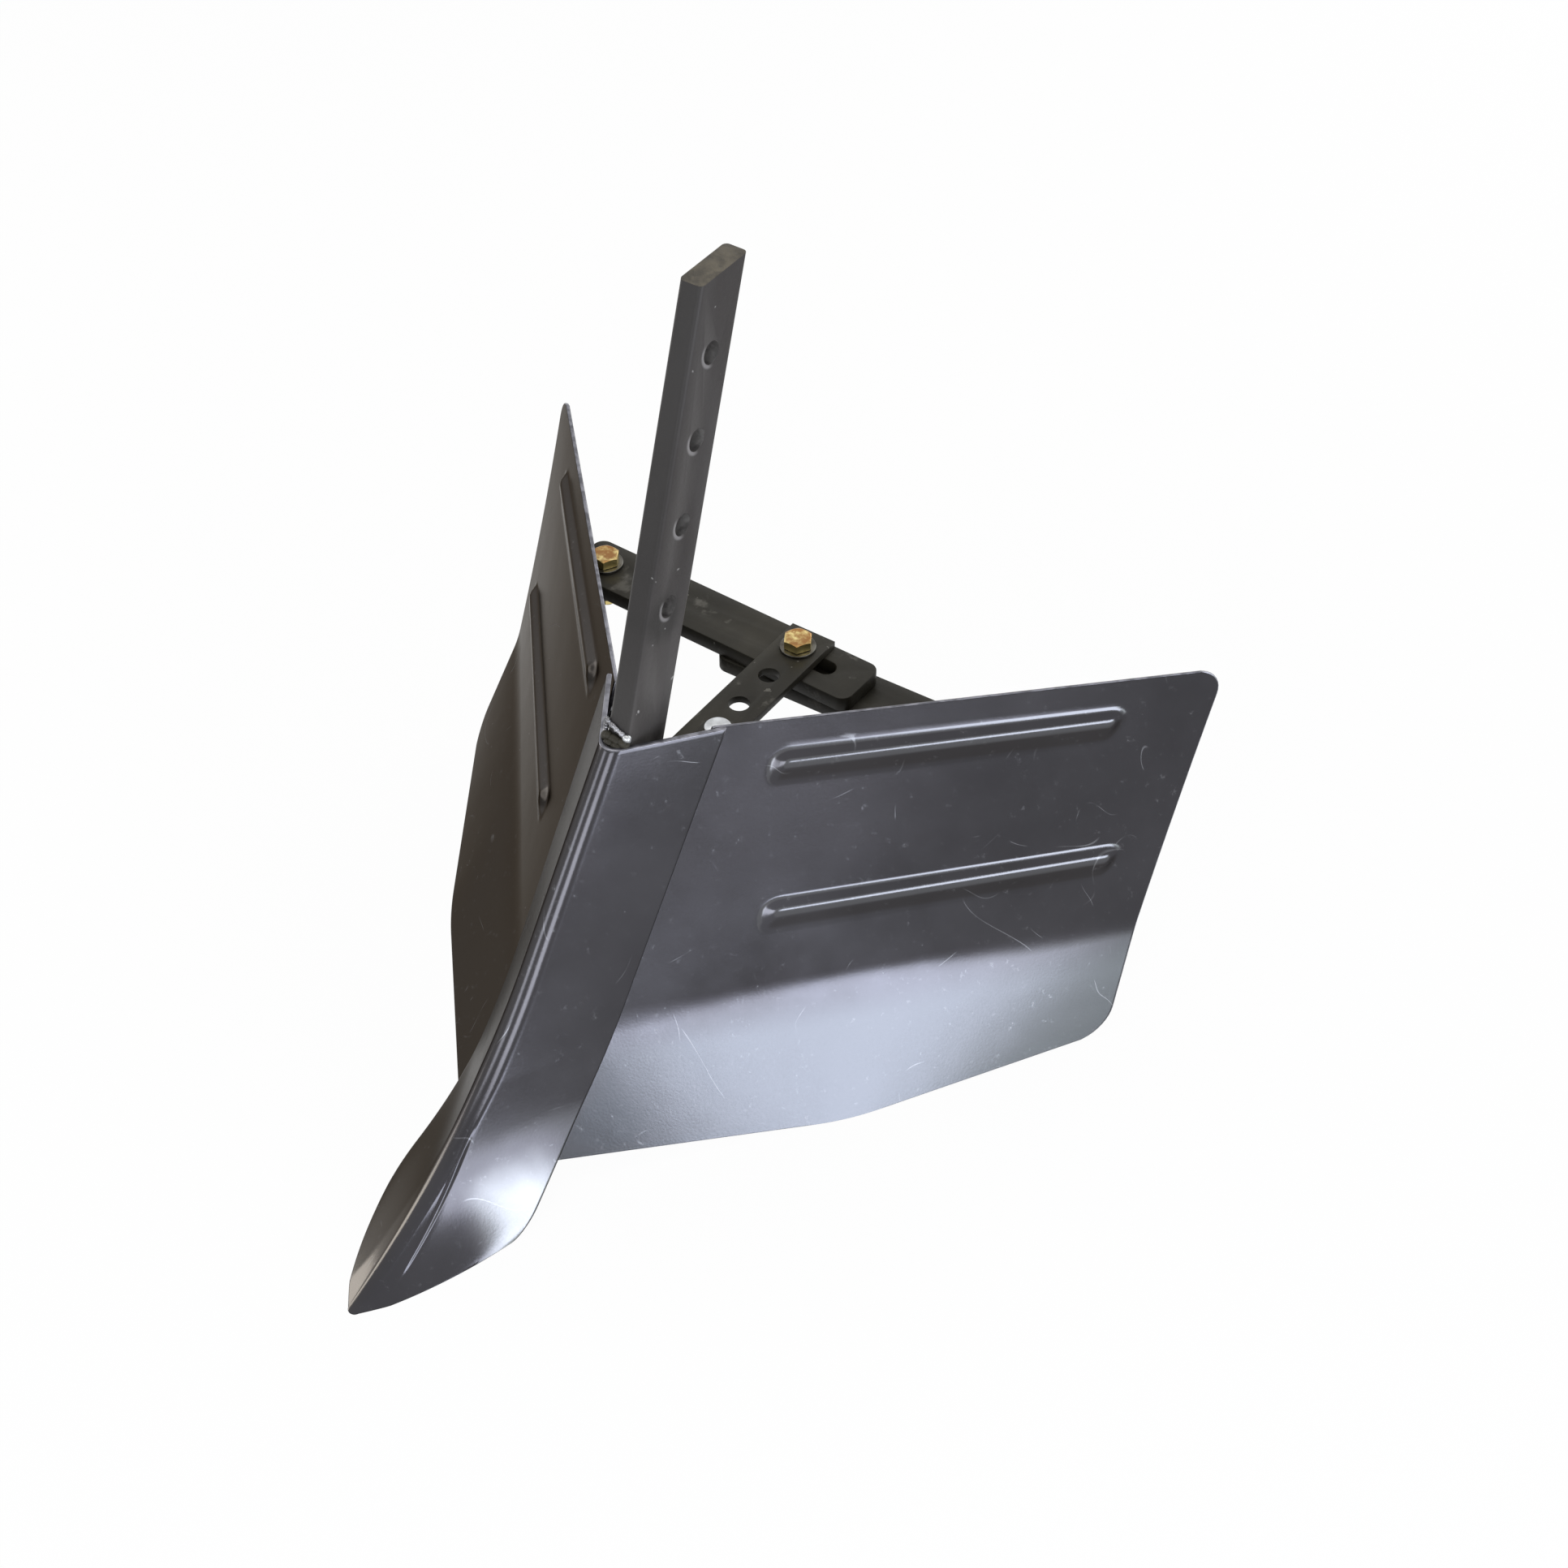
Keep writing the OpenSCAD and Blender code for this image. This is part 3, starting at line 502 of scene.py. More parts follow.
zincFinish = {
    "yellow": (0.78, 0.66, 0.30), "olive": (0.66, 0.52, 0.20),
    "bright": {"dark": (0.42, 0.43, 0.44), "light": (0.66, 0.68, 0.70)},
    "dull": {"dark": (0.065, 0.060, 0.050), "light": (0.15, 0.145, 0.13)},
    "stain": (0.27, 0.125, 0.045), "stained": 0.95, "upward": (0.6, 0.95),
    "pitBump": {"distance": 0.00008, "strength": 0.4},
}


def yellowZinc(name):
    # plated yellow, with rust on the faces that look up
    f = Finish(name)
    place = f.coords()
    cloud = f.noise(place, scale=240, detail=4)
    stain = f.step(f.facing("Z"), *zincFinish["upward"]) * f.step(cloud, 0.25, 0.6)
    base = f.mix(f.step(cloud, 0.3, 0.7), zincFinish["yellow"], zincFinish["olive"])
    base = f.mix(stain * zincFinish["stained"], base, zincFinish["stain"])
    pits = f.bump(f.noise(place, scale=700, detail=2), **zincFinish["pitBump"])
    return f.surface(Base_Color=base, Metallic=1.0, Roughness=cloud * 0.2 + 0.24, Normal=pits)


def plainZinc(name, colours):
    f = Finish(name)
    place = f.coords()
    cloud = f.noise(place, scale=180, detail=4)
    pits = f.bump(f.noise(place, scale=600, detail=2), **zincFinish["pitBump"])
    base = f.tones(cloud, 0.3, 0.7, colours)
    return f.surface(Base_Color=base, Metallic=1.0, Roughness=cloud * 0.25 + 0.25, Normal=pits)


weldFinish = {
    "dark": (0.10, 0.10, 0.105), "light": (0.34, 0.34, 0.36), "pitBump": {"distance": 0.0003, "strength": 0.5},
}


def weldSteel(name):
    f = Finish(name)
    place = f.coords()
    cloud = f.noise(place, scale=150, detail=4)
    pits = f.bump(f.noise(place, scale=320, detail=3), **weldFinish["pitBump"])
    base = f.tones(cloud, 0.35, 0.65, weldFinish)
    return f.surface(Base_Color=base, Metallic=1.0, Roughness=cloud * 0.25 + 0.25, Normal=pits)


finishes = {
    "leftSheet": gunmetal("leftWingGunmetal", 1.7, "left"),
    "rightSheet": gunmetal("rightWingGunmetal", 4.3, "right"),
    "share": gunmetal("shareGunmetal", 8.1, "share"),
    # the share's left faces take a copy of its finish with painted shade and painted light in it
    "shareLeft": gunmetal("shareLeftGunmetal", 8.1, "shareLeft"),
    "inside": rawInside("sheetInside"),
    "edge": cutEdge("sheetEdge"),
    # the share's rim carries a painted shadow below its top
    "shareEdge": cutEdge("shareEdge", 0.180),
    "shank": shankPaint("shankPaint"),
    "sawn": sawnSteel("sawnEnd"),
    "bar": barSteel("barSteel"),
    "plate": barSteel("plateSteel"),
    "yellow": yellowZinc("yellowZinc"),
    "zinc": plainZinc("brightZinc", zincFinish["bright"]),
    "washer": plainZinc("dullZinc", zincFinish["dull"]),
    "bore": wornBore("wornBore"),
    "weld": weldSteel("weldSteel"),
}
print("finishes made:", len(finishes))


# mesh tools

def blend(a, b, f):
    return a + (b - a) * f


def evenly(low, high, count):
    return [blend(low, high, i / count) for i in range(count + 1)]


def camel(node):
    first, *rest = node.split("_")
    return first + "".join(word.capitalize() for word in rest)


def finishPiece(name, bm, materials, nodes, smooth=35, stands=True):
    mesh = bpy.data.meshes.new(name)
    bm.to_mesh(mesh)
    bm.free()
    for material in materials:
        mesh.materials.append(material)
    mesh.polygons.foreach_set("use_smooth", [True] * len(mesh.polygons))
    mesh.set_sharp_from_angle(angle=math.radians(smooth))
    piece = linkToScene(bpy.data.objects.new(name, mesh))
    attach(piece, cadNodes[nodes[0]]["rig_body"])
    if stands:
        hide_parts(*nodes)
    return piece


def sheetMesh(place, columns, rows, edgeRound, flipped=False, ribHeight=None):
    # two skins of a grid, joined round their rims, with softened edges: outside 0, edge 1, inside 2
    bm = bmesh.new()
    ribLayer = bm.verts.layers.float.new("ribHeight")
    bmesh.ops.create_grid(bm, x_segments=len(columns) - 1, y_segments=len(rows) - 1, size=1.0)
    copied = bmesh.ops.duplicate(bm, geom=bm.verts[:] + bm.edges[:] + bm.faces[:])["geom"]
    innerVerts = {g for g in copied if isinstance(g, bmesh.types.BMVert)}
    innerFaces = [g for g in copied if isinstance(g, bmesh.types.BMFace)]
    for vert in bm.verts:
        column = columns[round((vert.co.x + 1) / 2 * (len(columns) - 1))]
        row = rows[round((vert.co.y + 1) / 2 * (len(rows) - 1))]
        vert.co = place(column, row, vert in innerVerts)
        vert[ribLayer] = ribHeight(column, row) if ribHeight else 0.0
    bmesh.ops.reverse_faces(bm, faces=innerFaces)
    for face in innerFaces:
        face.material_index = 2
    rims = [edge for edge in bm.edges if edge.is_boundary]
    rimFaces = bmesh.ops.bridge_loops(bm, edges=rims)["faces"]
    for face in rimFaces:
        face.material_index = 1
    if flipped:
        bmesh.ops.reverse_faces(bm, faces=bm.faces[:])
    rounded = bmesh.ops.bevel(bm, geom=rims, offset=edgeRound, segments=2, profile=0.5, affect="EDGES",
                              material=-1)
    for face in rounded["faces"]:
        face.material_index = 1
    return bm


def ringStack(rings, segments, closed):
    # rings are pairs of functions of the angle, radius and height, each extruded from the one before
    bm = bmesh.new()
    bmesh.ops.create_circle(bm, segments=segments, radius=1.0)
    edges = bm.edges[:]
    firstEdges = edges[:]

    def shape(verts, ring):
        for vert in verts:
            angle = math.atan2(vert.co.y, vert.co.x)
            radius, height = ring[0](angle), ring[1](angle)
            vert.co = (radius * math.cos(angle), radius * math.sin(angle), height)

    shape(bm.verts, rings[0])
    for ring in rings[1:]:
        made = bmesh.ops.extrude_edge_only(bm, edges=edges)["geom"]
        edges = [g for g in made if isinstance(g, bmesh.types.BMEdge)]
        shape([g for g in made if isinstance(g, bmesh.types.BMVert)], ring)
    if closed:
        bmesh.ops.bridge_loops(bm, edges=firstEdges + edges)
    else:
        bmesh.ops.edgeloop_fill(bm, edges=firstEdges)
        bmesh.ops.edgeloop_fill(bm, edges=edges)
    bmesh.ops.recalc_face_normals(bm, faces=bm.faces[:])
    return bm


def roundRing(radius, height):
    return (lambda angle: radius, lambda angle: height)


softForm = {"merge": 1e-6, "flat": 0.4, "corner": 28, "segments": 2}


def softenedCopy(name, node, material, softness):
    # a copy of a solid with its sharp edges rounded off
    bm = bmesh.new()
    bm.from_mesh(cadNodes[node].data)
    bmesh.ops.remove_doubles(bm, verts=bm.verts[:], dist=softForm["merge"])
    flat = math.radians(softForm["flat"])
    bmesh.ops.dissolve_limit(bm, angle_limit=flat, verts=bm.verts[:], edges=bm.edges[:])
    corner = math.radians(softForm["corner"])
    sharp = [edge for edge in bm.edges if len(edge.link_faces) == 2 and edge.calc_face_angle() > corner]
    bmesh.ops.bevel(bm, geom=sharp, offset=softness, segments=softForm["segments"], profile=0.5, affect="EDGES",
                    material=-1, clamp_overlap=True)
    for face in bm.faces:
        face.material_index = 0
    return finishPiece(name, bm, [material], [node], smooth=40)


# share: one folded sheet

shareForm = {
    "height": 0.190, "crownDrop": 0.005, "sheet": 0.0024,
    "tipY": -0.213, "tipRake": 18, "noseRake": 54, "noseArc": 0.280,
    "heelY": -0.1355, "heelRake": 24, "heelArc": 0.229,
    "heelHalf": 0.038, "waistHalf": 0.0315, "crownHalf": 0.034, "flare": 0.040, "bulge": 0.003,
    "noseFold": 0.0075, "tipFold": 0.0036, "foldTop": 1.5, "thinnestFold": 0.0002,
    "heelCorner": 0.007, "creaseTop": 0.045, "creaseWidth": 0.014, "leastWidth": 0.0001, "creaseRise": 0.0016,
    "foldShare": 0.34, "columns": 56, "rows": 130, "gather": 1.25, "leftFrom": -0.002, "edgeRound": 0.0005,
}


def edgeY(z, start, low, high, radius):
    # an edge that curves from its low slope to its high one, then runs straight
    low, high = math.radians(low), math.radians(high)
    arcHeight = radius * (math.cos(low) - math.cos(high))
    if z < arcHeight:
        return start + radius * (math.sin(math.acos(math.cos(low) - z / radius)) - math.sin(low))
    return start + radius * (math.sin(high) - math.sin(low)) + (z - arcHeight) / math.tan(high)


def noseY(z):
    return edgeY(z, shareForm["tipY"], shareForm["tipRake"], shareForm["noseRake"], shareForm["noseArc"])


def heelY(z):
    return edgeY(z, shareForm["heelY"], shareForm["heelRake"], shareForm["noseRake"], shareForm["heelArc"])


def flareAt(z):
    return max(0.0, 1 - z / shareForm["flare"]) ** 2


def heelX(z):
    form = shareForm
    return (form["waistHalf"] + (form["crownHalf"] - form["waistHalf"]) * (z / form["height"]) ** 2
            + (form["heelHalf"] - form["waistHalf"]) * flareAt(z))


def creaseLift(reach, whole, z):
    # a flat strip beside the fold that widens towards the tip
    low = max(0.0, 1 - z / shareForm["creaseTop"])
    width = max(shareForm["creaseWidth"] * low, shareForm["leastWidth"])
    part = reach / width if reach < width else (whole - reach) / (whole - width)
    return shareForm["creaseRise"] * low ** 2 * part


def sharePlace(across, z, inner):
    form = shareForm
    depth = form["sheet"] if inner else 0.0
    rearZ = z * (1 - form["crownDrop"] / form["height"])
    rear = Vector((heelX(rearZ), heelY(rearZ)))
    near = max(0.0, form["heelCorner"] - z)
    rear += (Vector((0.0, noseY(z))) - rear).normalized() * (
        form["heelCorner"] - math.sqrt(form["heelCorner"] ** 2 - near ** 2))
    fold = blend(form["tipFold"], form["noseFold"], min(1.0, z / form["flare"] / form["foldTop"]))
    middle = Vector((0.0, noseY(z) + fold))
    off = rear - middle
    halfAngle = math.atan2(off.x, off.y) - math.asin(fold / off.length)
    out = Vector((math.cos(halfAngle), -math.sin(halfAngle)))
    skin = max(fold - depth, form["thinnestFold"])
    reach = abs(across)
    if reach < form["foldShare"]:
        turn = (math.pi / 2 - halfAngle) * reach / form["foldShare"]
        point = middle + skin * Vector((math.sin(turn), -math.cos(turn)))
    else:
        along = (reach - form["foldShare"]) / (1 - form["foldShare"])
        point = (middle + skin * out).lerp(rear - depth * out, along)
        bulge = 4 * along * (1 - along) * form["bulge"] * flareAt(z)
        point += (bulge + creaseLift(along * off.length, off.length, z)) * out
    fall = (z - rearZ) / (rear.y - noseY(z)) * (point.y - noseY(z))
    return Vector((math.copysign(point.x, across), point.y, z - fall))


def makeShare():
    form = shareForm
    columns = evenly(-1.0, 1.0, 2 * form["columns"])
    rows = [form["height"] * f ** form["gather"] for f in evenly(0.0, 1.0, form["rows"])]
    bm = sheetMesh(sharePlace, columns, rows, form["edgeRound"])
    for face in bm.faces:
        if face.material_index == 0 and face.calc_center_median().x < form["leftFrom"]:
            face.material_index = 3
    materials = [finishes[key] for key in ("share", "shareEdge", "inside", "shareLeft")]
    finishPiece("shareSheet", bm, materials, ["share"])


# wings: bent sheets with pressed ribs

wingForm = {
    "top": (0.1955, 0.2135, 0.1735), "bend": (0.191, 0.1565, 0.0475), "bendFrontZ": 0.0645, "bendInset": 0.0015,
    "foot": (0.1965, 0.1245, 0.003), "knee": (0.122, 0.0075, 0.0), "toe": (0.030, -0.097, 0.012),
    "sheet": 0.002, "corner": 0.013, "lap": 0.006, "lapGap": 0.0006,
    "bendSoft": 0.006, "hollow": 0.0011, "kneeSoft": 0.06, "edgeRound": 0.0005,
    "columns": 200, "lowerRows": 26, "cornerRows": 9, "bendRows": 10, "plainStep": 0.0017, "ribStep": 0.00055,
}

ribForm = {
    "halfWidth": 0.0088, "lowerSpread": 1.5, "upperSpread": 0.74, "rise": 0.0032, "margin": 0.001,
    "start": 0.036, "length": 0.153, "setback": 0.022, "drop": 0.020, "pitch": 0.075,
}


class WingShape:
    # the outer face of the right wing: s runs from the share at 0 to the rear edge at 1,
    # t from the foot at -1 over the bend at 0 to the top at 1
    def __init__(self):
        form = wingForm
        crownZ = shareForm["height"] - shareForm["crownDrop"]
        seat = shareForm["sheet"] + form["lapGap"]
        self.rearTop, self.rearBend = Vector(form["top"]), Vector(form["bend"])
        frontTop = Vector((heelX(crownZ), heelY(crownZ), crownZ))
        self.out = (self.rearBend - frontTop).cross(self.rearTop - frontTop).normalized()
        self.frontTop = frontTop - seat * self.out
        bendZ = form["bendFrontZ"]
        self.frontBend = Vector((heelX(bendZ), heelY(bendZ), bendZ)) - (seat + form["bendInset"]) * self.out
        self.toe, self.knee, self.foot = Vector(form["toe"]), Vector(form["knee"]), Vector(form["foot"])
        self.run = (self.rearTop - self.frontTop).length
        frontLength = (self.knee - self.toe).length
        self.kneeAt = frontLength / (frontLength + (self.foot - self.knee).length)
        self.upperHeight = (self.rearTop - self.rearBend).length
        self.lowerHeight = (self.rearBend - self.foot).length

    def footAt(self, s):
        soft = wingForm["kneeSoft"]
        front = self.toe.lerp(self.knee, s / self.kneeAt)
        rear = self.knee.lerp(self.foot, (s - self.kneeAt) / (1 - self.kneeAt))
        f = min(1.0, max(0.0, (s - self.kneeAt + soft) / (2 * soft)))
        if 0 < f < 1:
            start = self.toe.lerp(self.knee, (self.kneeAt - soft) / self.kneeAt)
            end = self.knee.lerp(self.foot, soft / (1 - self.kneeAt))
            return start.lerp(self.knee, f).lerp(self.knee.lerp(end, f), f)
        return front if f == 0 else rear

    def panelAt(self, s, t):
        bend = self.frontBend.lerp(self.rearBend, s)
        if t < 0:
            return bend.lerp(self.footAt(s), -t)
        hollow = 4 * t * (1 - t) * wingForm["hollow"]
        return bend.lerp(self.frontTop.lerp(self.rearTop, s), t) - hollow * self.out

    def faceAt(self, s, t):
        low, high = -wingForm["bendSoft"] / self.lowerHeight, wingForm["bendSoft"] / self.upperHeight
        if not low < t < high:
            return self.panelAt(s, t)
        f = 0.5 * (1 - t / low) if t < 0 else 0.5 * (1 + t / high)
        a, b, c = self.panelAt(s, low), self.panelAt(s, 0), self.panelAt(s, high)
        return a.lerp(b, f).lerp(b.lerp(c, f), f)

    def ribLift(self, s, t):
        lift = 0.0
        for back in (0, 1):
            start = ribForm["start"] + back * ribForm["setback"]
            past = s * self.run - start
            past -= min(max(past, 0.0), ribForm["length"])
            off = (1 - t) * self.upperHeight - ribForm["drop"] - back * ribForm["pitch"]
            spread = ribForm["lowerSpread" if off > 0 else "upperSpread"]
            q = math.hypot(past, off / spread) / ribForm["halfWidth"]
            if q < 1:
                lift = ribForm["rise"] * 0.5 * (1 + math.cos(math.pi * q))
        return lift

    def rearAt(self, t):
        # where a row ends, drawn in at the rounded rear corners
        corner = wingForm["corner"]
        near = max(0.0, corner - min((1 - t) * self.upperHeight, (1 + t) * self.lowerHeight))
        return 1 - (corner - math.sqrt(max(0.0, corner ** 2 - near ** 2))) / self.run

    def upperRows(self, low, high):
        # close together across the ribs
        spots = [low]
        while spots[-1] < high - wingForm["plainStep"] / self.upperHeight:
            down = (1 - spots[-1]) * self.upperHeight - ribForm["drop"]
            past = min((down - back * ribForm["pitch"] for back in (0, 1)), key=abs)
            past /= ribForm["halfWidth"] + ribForm["margin"]
            onRib = -ribForm["upperSpread"] < past < ribForm["lowerSpread"]
            spots.append(spots[-1] + wingForm["ribStep" if onRib else "plainStep"] / self.upperHeight)
        return spots

    def rows(self):
        form = wingForm
        drops = [form["corner"] * (1 - math.sin(math.pi / 2 * f)) for f in evenly(0.0, 1.0, form["cornerRows"])]
        low = [d / self.lowerHeight - 1 for d in reversed(drops)]
        high = [1 - d / self.upperHeight for d in drops]
        bendLow, bendHigh = -form["bendSoft"] / self.lowerHeight, form["bendSoft"] / self.upperHeight
        lower = evenly(low[-1], bendLow, form["lowerRows"])[1:-1]
        bend = evenly(bendLow, 0, form["bendRows"])[:-1] + evenly(0, bendHigh, form["bendRows"])[:-1]
        return low + lower + bend + self.upperRows(bendHigh, high[0]) + high


def makeWing(side):
    shape = WingShape()

    def place(s, t, inner):
        along = s if s < 0 else s * shape.rearAt(t)
        depth = wingForm["sheet"] if inner else 0
        point = shape.faceAt(along, t) + (shape.ribLift(s, t) - depth) * shape.out
        point.x *= sides[side]
        return point

    columns = evenly(-wingForm["lap"] / shape.run, 1.0, wingForm["columns"])
    bm = sheetMesh(place, columns, shape.rows(), wingForm["edgeRound"], sides[side] < 0,
                   lambda s, t: shape.ribLift(s, t) / ribForm["rise"])
    materials = [finishes[key] for key in (side + "Sheet", "edge", "inside")]
    finishPiece(side + "WingSheet", bm, materials, [side + "_wing"])


# bolts, nuts and washers

boltForm = {
    "flats": 0.013, "head": 0.0053, "cornerCut": 28, "cornerShare": 0.96, "segments": 72,
    "shaft": 0.004, "chamfer": 0.0006, "thread": 0.00125, "threadDepth": 0.00055, "threaded": 0.011,
    "washerFace": 0.0004, "faceShare": 0.95, "dishShare": 0.80, "dish": 0.0001,
    "nutGap": 0.0001, "nutFlare": 0.0006, "nutFlareDepth": 0.0007,
}


def hexRadius(flats):
    return lambda angle: flats / 2 / math.cos(math.radians((math.degrees(angle) % 60) - 30))


def hexRings(low, high, flats, lowCut, highCut):
    # flank rings of a hexagon, with its corners cut back at either end
    radius = hexRadius(flats)
    cut = math.tan(math.radians(boltForm["cornerCut"]))
    rim = flats / 2 * boltForm["cornerShare"]

    def lift(base, sign):
        return lambda angle: base + sign * max(0.0, radius(angle) - rim) * cut

    rings = []
    if lowCut:
        rings.append(roundRing(rim, low))
    rings.append((radius, lift(low, 1) if lowCut else (lambda angle: low)))
    rings.append((radius, lift(high, -1) if highCut else (lambda angle: high)))
    if highCut:
        rings.append(roundRing(rim, high))
    return rings


def makeBolt(name, node):
    form = boltForm
    low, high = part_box(node)
    headLow = high.z - form["head"]
    rings = [roundRing(form["shaft"] - 2 * form["chamfer"], low.z),
             roundRing(form["shaft"], low.z + form["chamfer"])]
    z = low.z + 2 * form["chamfer"]
    while z < low.z + form["threaded"]:
        rings.append(roundRing(form["shaft"] - form["threadDepth"], z + 0.5 * form["thread"]))
        rings.append(roundRing(form["shaft"], z + form["thread"]))
        z += form["thread"]
    rings.append(roundRing(form["shaft"], headLow))
    rings.append(roundRing(form["flats"] / 2 * form["faceShare"], headLow))
    rings += hexRings(headLow + form["washerFace"], high.z, form["flats"], False, True)
    rings.append(roundRing(form["flats"] / 2 * form["dishShare"], high.z - form["dish"]))
    placeRings(name, node, rings, closed=False)


def makeNut(name, node):
    form = boltForm
    low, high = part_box(node)
    bore = form["shaft"] + form["nutGap"]
    mouth, depth = bore + form["nutFlare"], form["nutFlareDepth"]
    rings = [roundRing(bore, low.z + depth), roundRing(mouth, low.z)]
    rings += hexRings(low.z, high.z, form["flats"], True, True)
    rings += [roundRing(mouth, high.z), roundRing(bore, high.z - depth)]
    placeRings(name, node, rings, closed=True)


def placeRings(name, node, rings, closed):
    low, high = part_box(node)
    bm = ringStack(rings, boltForm["segments"], closed)
    bmesh.ops.translate(bm, verts=bm.verts[:], vec=((low.x + high.x) / 2, (low.y + high.y) / 2, 0))
    finishPiece(name, bm, [finishes["yellow"]], [node], smooth=30)


washerForm = {"outer": 0.009, "bore": 0.0041, "thick": 0.0016, "soft": 0.00025, "segments": 64}


def washerRings(z):
    form = washerForm
    inner, outer, soft, top = form["bore"], form["outer"], form["soft"], z + form["thick"]
    return [roundRing(inner, z + soft), roundRing(inner + soft, z), roundRing(outer - soft, z),
            roundRing(outer, z + soft), roundRing(outer, top - soft), roundRing(outer - soft, top),
            roundRing(inner + soft, top), roundRing(inner, top - soft)]


def makeWashers(name, node, heights):
    whole = bmesh.new()
    low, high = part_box(node)
    for z in heights:
        ring = ringStack(washerRings(z), washerForm["segments"], True)
        mesh = bpy.data.meshes.new("washerRing")
        ring.to_mesh(mesh)
        ring.free()
        whole.from_mesh(mesh)
        bpy.data.meshes.remove(mesh)
    bmesh.ops.translate(whole, verts=whole.verts[:], vec=((low.x + high.x) / 2, (low.y + high.y) / 2, 0))
    finishPiece(name, whole, [finishes["washer"]], [node], smooth=30)


def makeFasteners():
    for name in ("left_tab", "right_tab", "centre"):
        makeBolt(camel(name) + "Bolt", name + "_bolt")
        makeNut(camel(name) + "Nut", name + "_nut")
        low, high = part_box(name + "_washers")
        makeWashers(camel(name) + "Washers", name + "_washers", (low.z, high.z - washerForm["thick"]))
    for side in sides:
        low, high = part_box(side + "_pin_washer")
        makeWashers(side + "PinWasher", side + "_pin_washer", (low.z,))


# flat bars, plates and pins: the solids with softened edges

softPieces = {
    "stay": ("bar", "bar_steel", 0.0006),
    "left_strut": ("bar", "bar_steel", 0.0006),
    "right_strut": ("bar", "bar_steel", 0.0006),
    "upper_hinge_plate": ("plate", "weld_plate", 0.0005),
    "lower_hinge_plate": ("plate", "weld_plate", 0.0005),
    "share_web": ("plate", "weld_plate", 0.0004),
    "left_upper_lug": ("plate", "weld_plate", 0.0005),
    "right_upper_lug": ("plate", "weld_plate", 0.0005),
    "left_lower_lug": ("plate", "weld_plate", 0.0005),
    "right_lower_lug": ("plate", "weld_plate", 0.0005),
    "left_tab": ("plate", "weld_plate", 0.0005),
    "right_tab": ("plate", "weld_plate", 0.0005),
    "left_hinge_pin": ("zinc", "zinc", 0.0008),
    "right_hinge_pin": ("zinc", "zinc", 0.0008),
    "left_split_pin": ("zinc", "zinc", 0.0003),
    "right_split_pin": ("zinc", "zinc", 0.0003),
}


def makeSoftPieces():
    for node, (finish, slot, softness) in softPieces.items():
        softenedCopy(camel(node) + "Piece", node, finishes[finish], softness)


shankForm = {"soft": 0.0007, "upward": 0.9, "topReach": 0.006, "boreReach": 0.0062}
shankHoles = [mount["pos_m"] for mount in frame["record"]["mounts"]]


def makeShank():
    # the bar with a sawn top and worn bores
    piece = softenedCopy("shankBar", "shank", finishes["shank"], shankForm["soft"])
    for finish in ("sawn", "bore"):
        piece.data.materials.append(finishes[finish])
    low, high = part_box("shank")
    for face in piece.data.polygons:
        away = min((Vector(hole) - face.center).yz.length for hole in shankHoles)
        if face.normal.z > shankForm["upward"] and face.center.z > high.z - shankForm["topReach"]:
            face.material_index = 1
        elif away < shankForm["boreReach"]:
            face.material_index = 2


# weld beads: rows of overlapping drops

# swell, ripple and sway are a share of the radius and a step of angle from drop to drop
beadForm = {
    "pitch": 0.0011, "across": 14, "around": 9,
    "swell": (0.12, 2.3), "ripple": (0.08, 5.1), "sway": (0.15, 1.7),
}

seamForm = {"radius": 0.0014, "sunk": 0.0013, "level": 0.0004, "reach": 0.0008, "ends": (0.05, 0.95)}

noseWelds = {
    "noseTopWeld": ("weld", 0.0014, (-0.0064, 0.0008, 0.197), (0.0060, -0.0008, 0.1925)),
    "noseEdgeWeld": ("weld", 0.0013, (-0.0064, -0.0008, 0.190), (-0.0066, 0.0012, 0.1965)),
    "noseDrop": ("zinc", 0.0018, (0.0056, -0.0009, 0.1928), (0.0064, -0.0006, 0.1922)),
    # painted shade: dark steel plugs fill the opening at the top of the fold
    "noseShadeFill": ("plate", 0.0023, (-0.0052, -0.0018, 0.1902), (0.0054, -0.0018, 0.1895)),
    "noseShadeFillLow": ("plate", 0.0018, (-0.0030, -0.0042, 0.1886), (0.0030, -0.0042, 0.1884)),
}

barWelds = {
    "stayTopWeld": ("stay", "bar_steel", 0.0016, (-0.0054, 0.0180, 0.1420), (0.0054, 0.0180, 0.1420)),
    "stayUnderWeld": ("stay", "bar_steel", 0.0016, (-0.0054, 0.0164, 0.1370), (0.0054, 0.0164, 0.1370)),
    "leftPlateWeld": ("upper_hinge_plate", "weld_plate", 0.0016,
                   (-0.0063, -0.0040, 0.1653), (-0.0063, 0.0240, 0.1653)),
    "rightPlateWeld": ("upper_hinge_plate", "weld_plate", 0.0016,
                    (0.0063, -0.0040, 0.1653), (0.0063, 0.0240, 0.1653)),
}


def makeBead(name, node, radius, start, end, finish="weld"):
    start, end = Vector(start), Vector(end)
    count = max(2, round((end - start).length / beadForm["pitch"]))
    (swell, swellStep), (ripple, rippleStep) = beadForm["swell"], beadForm["ripple"]
    sway, swayStep = beadForm["sway"]
    bm = bmesh.new()
    for i in range(count + 1):
        size = radius * (1 + swell * math.sin(swellStep * i) + ripple * math.sin(rippleStep * i + 1))
        centre = start.lerp(end, i / count) + Vector((0, 0, sway * radius * math.sin(swayStep * i)))
        bmesh.ops.create_uvsphere(bm, u_segments=beadForm["across"], v_segments=beadForm["around"], radius=size,
                                  matrix=Matrix.Translation(centre))
    finishPiece(name, bm, [finishes[finish]], [node], stands=False)


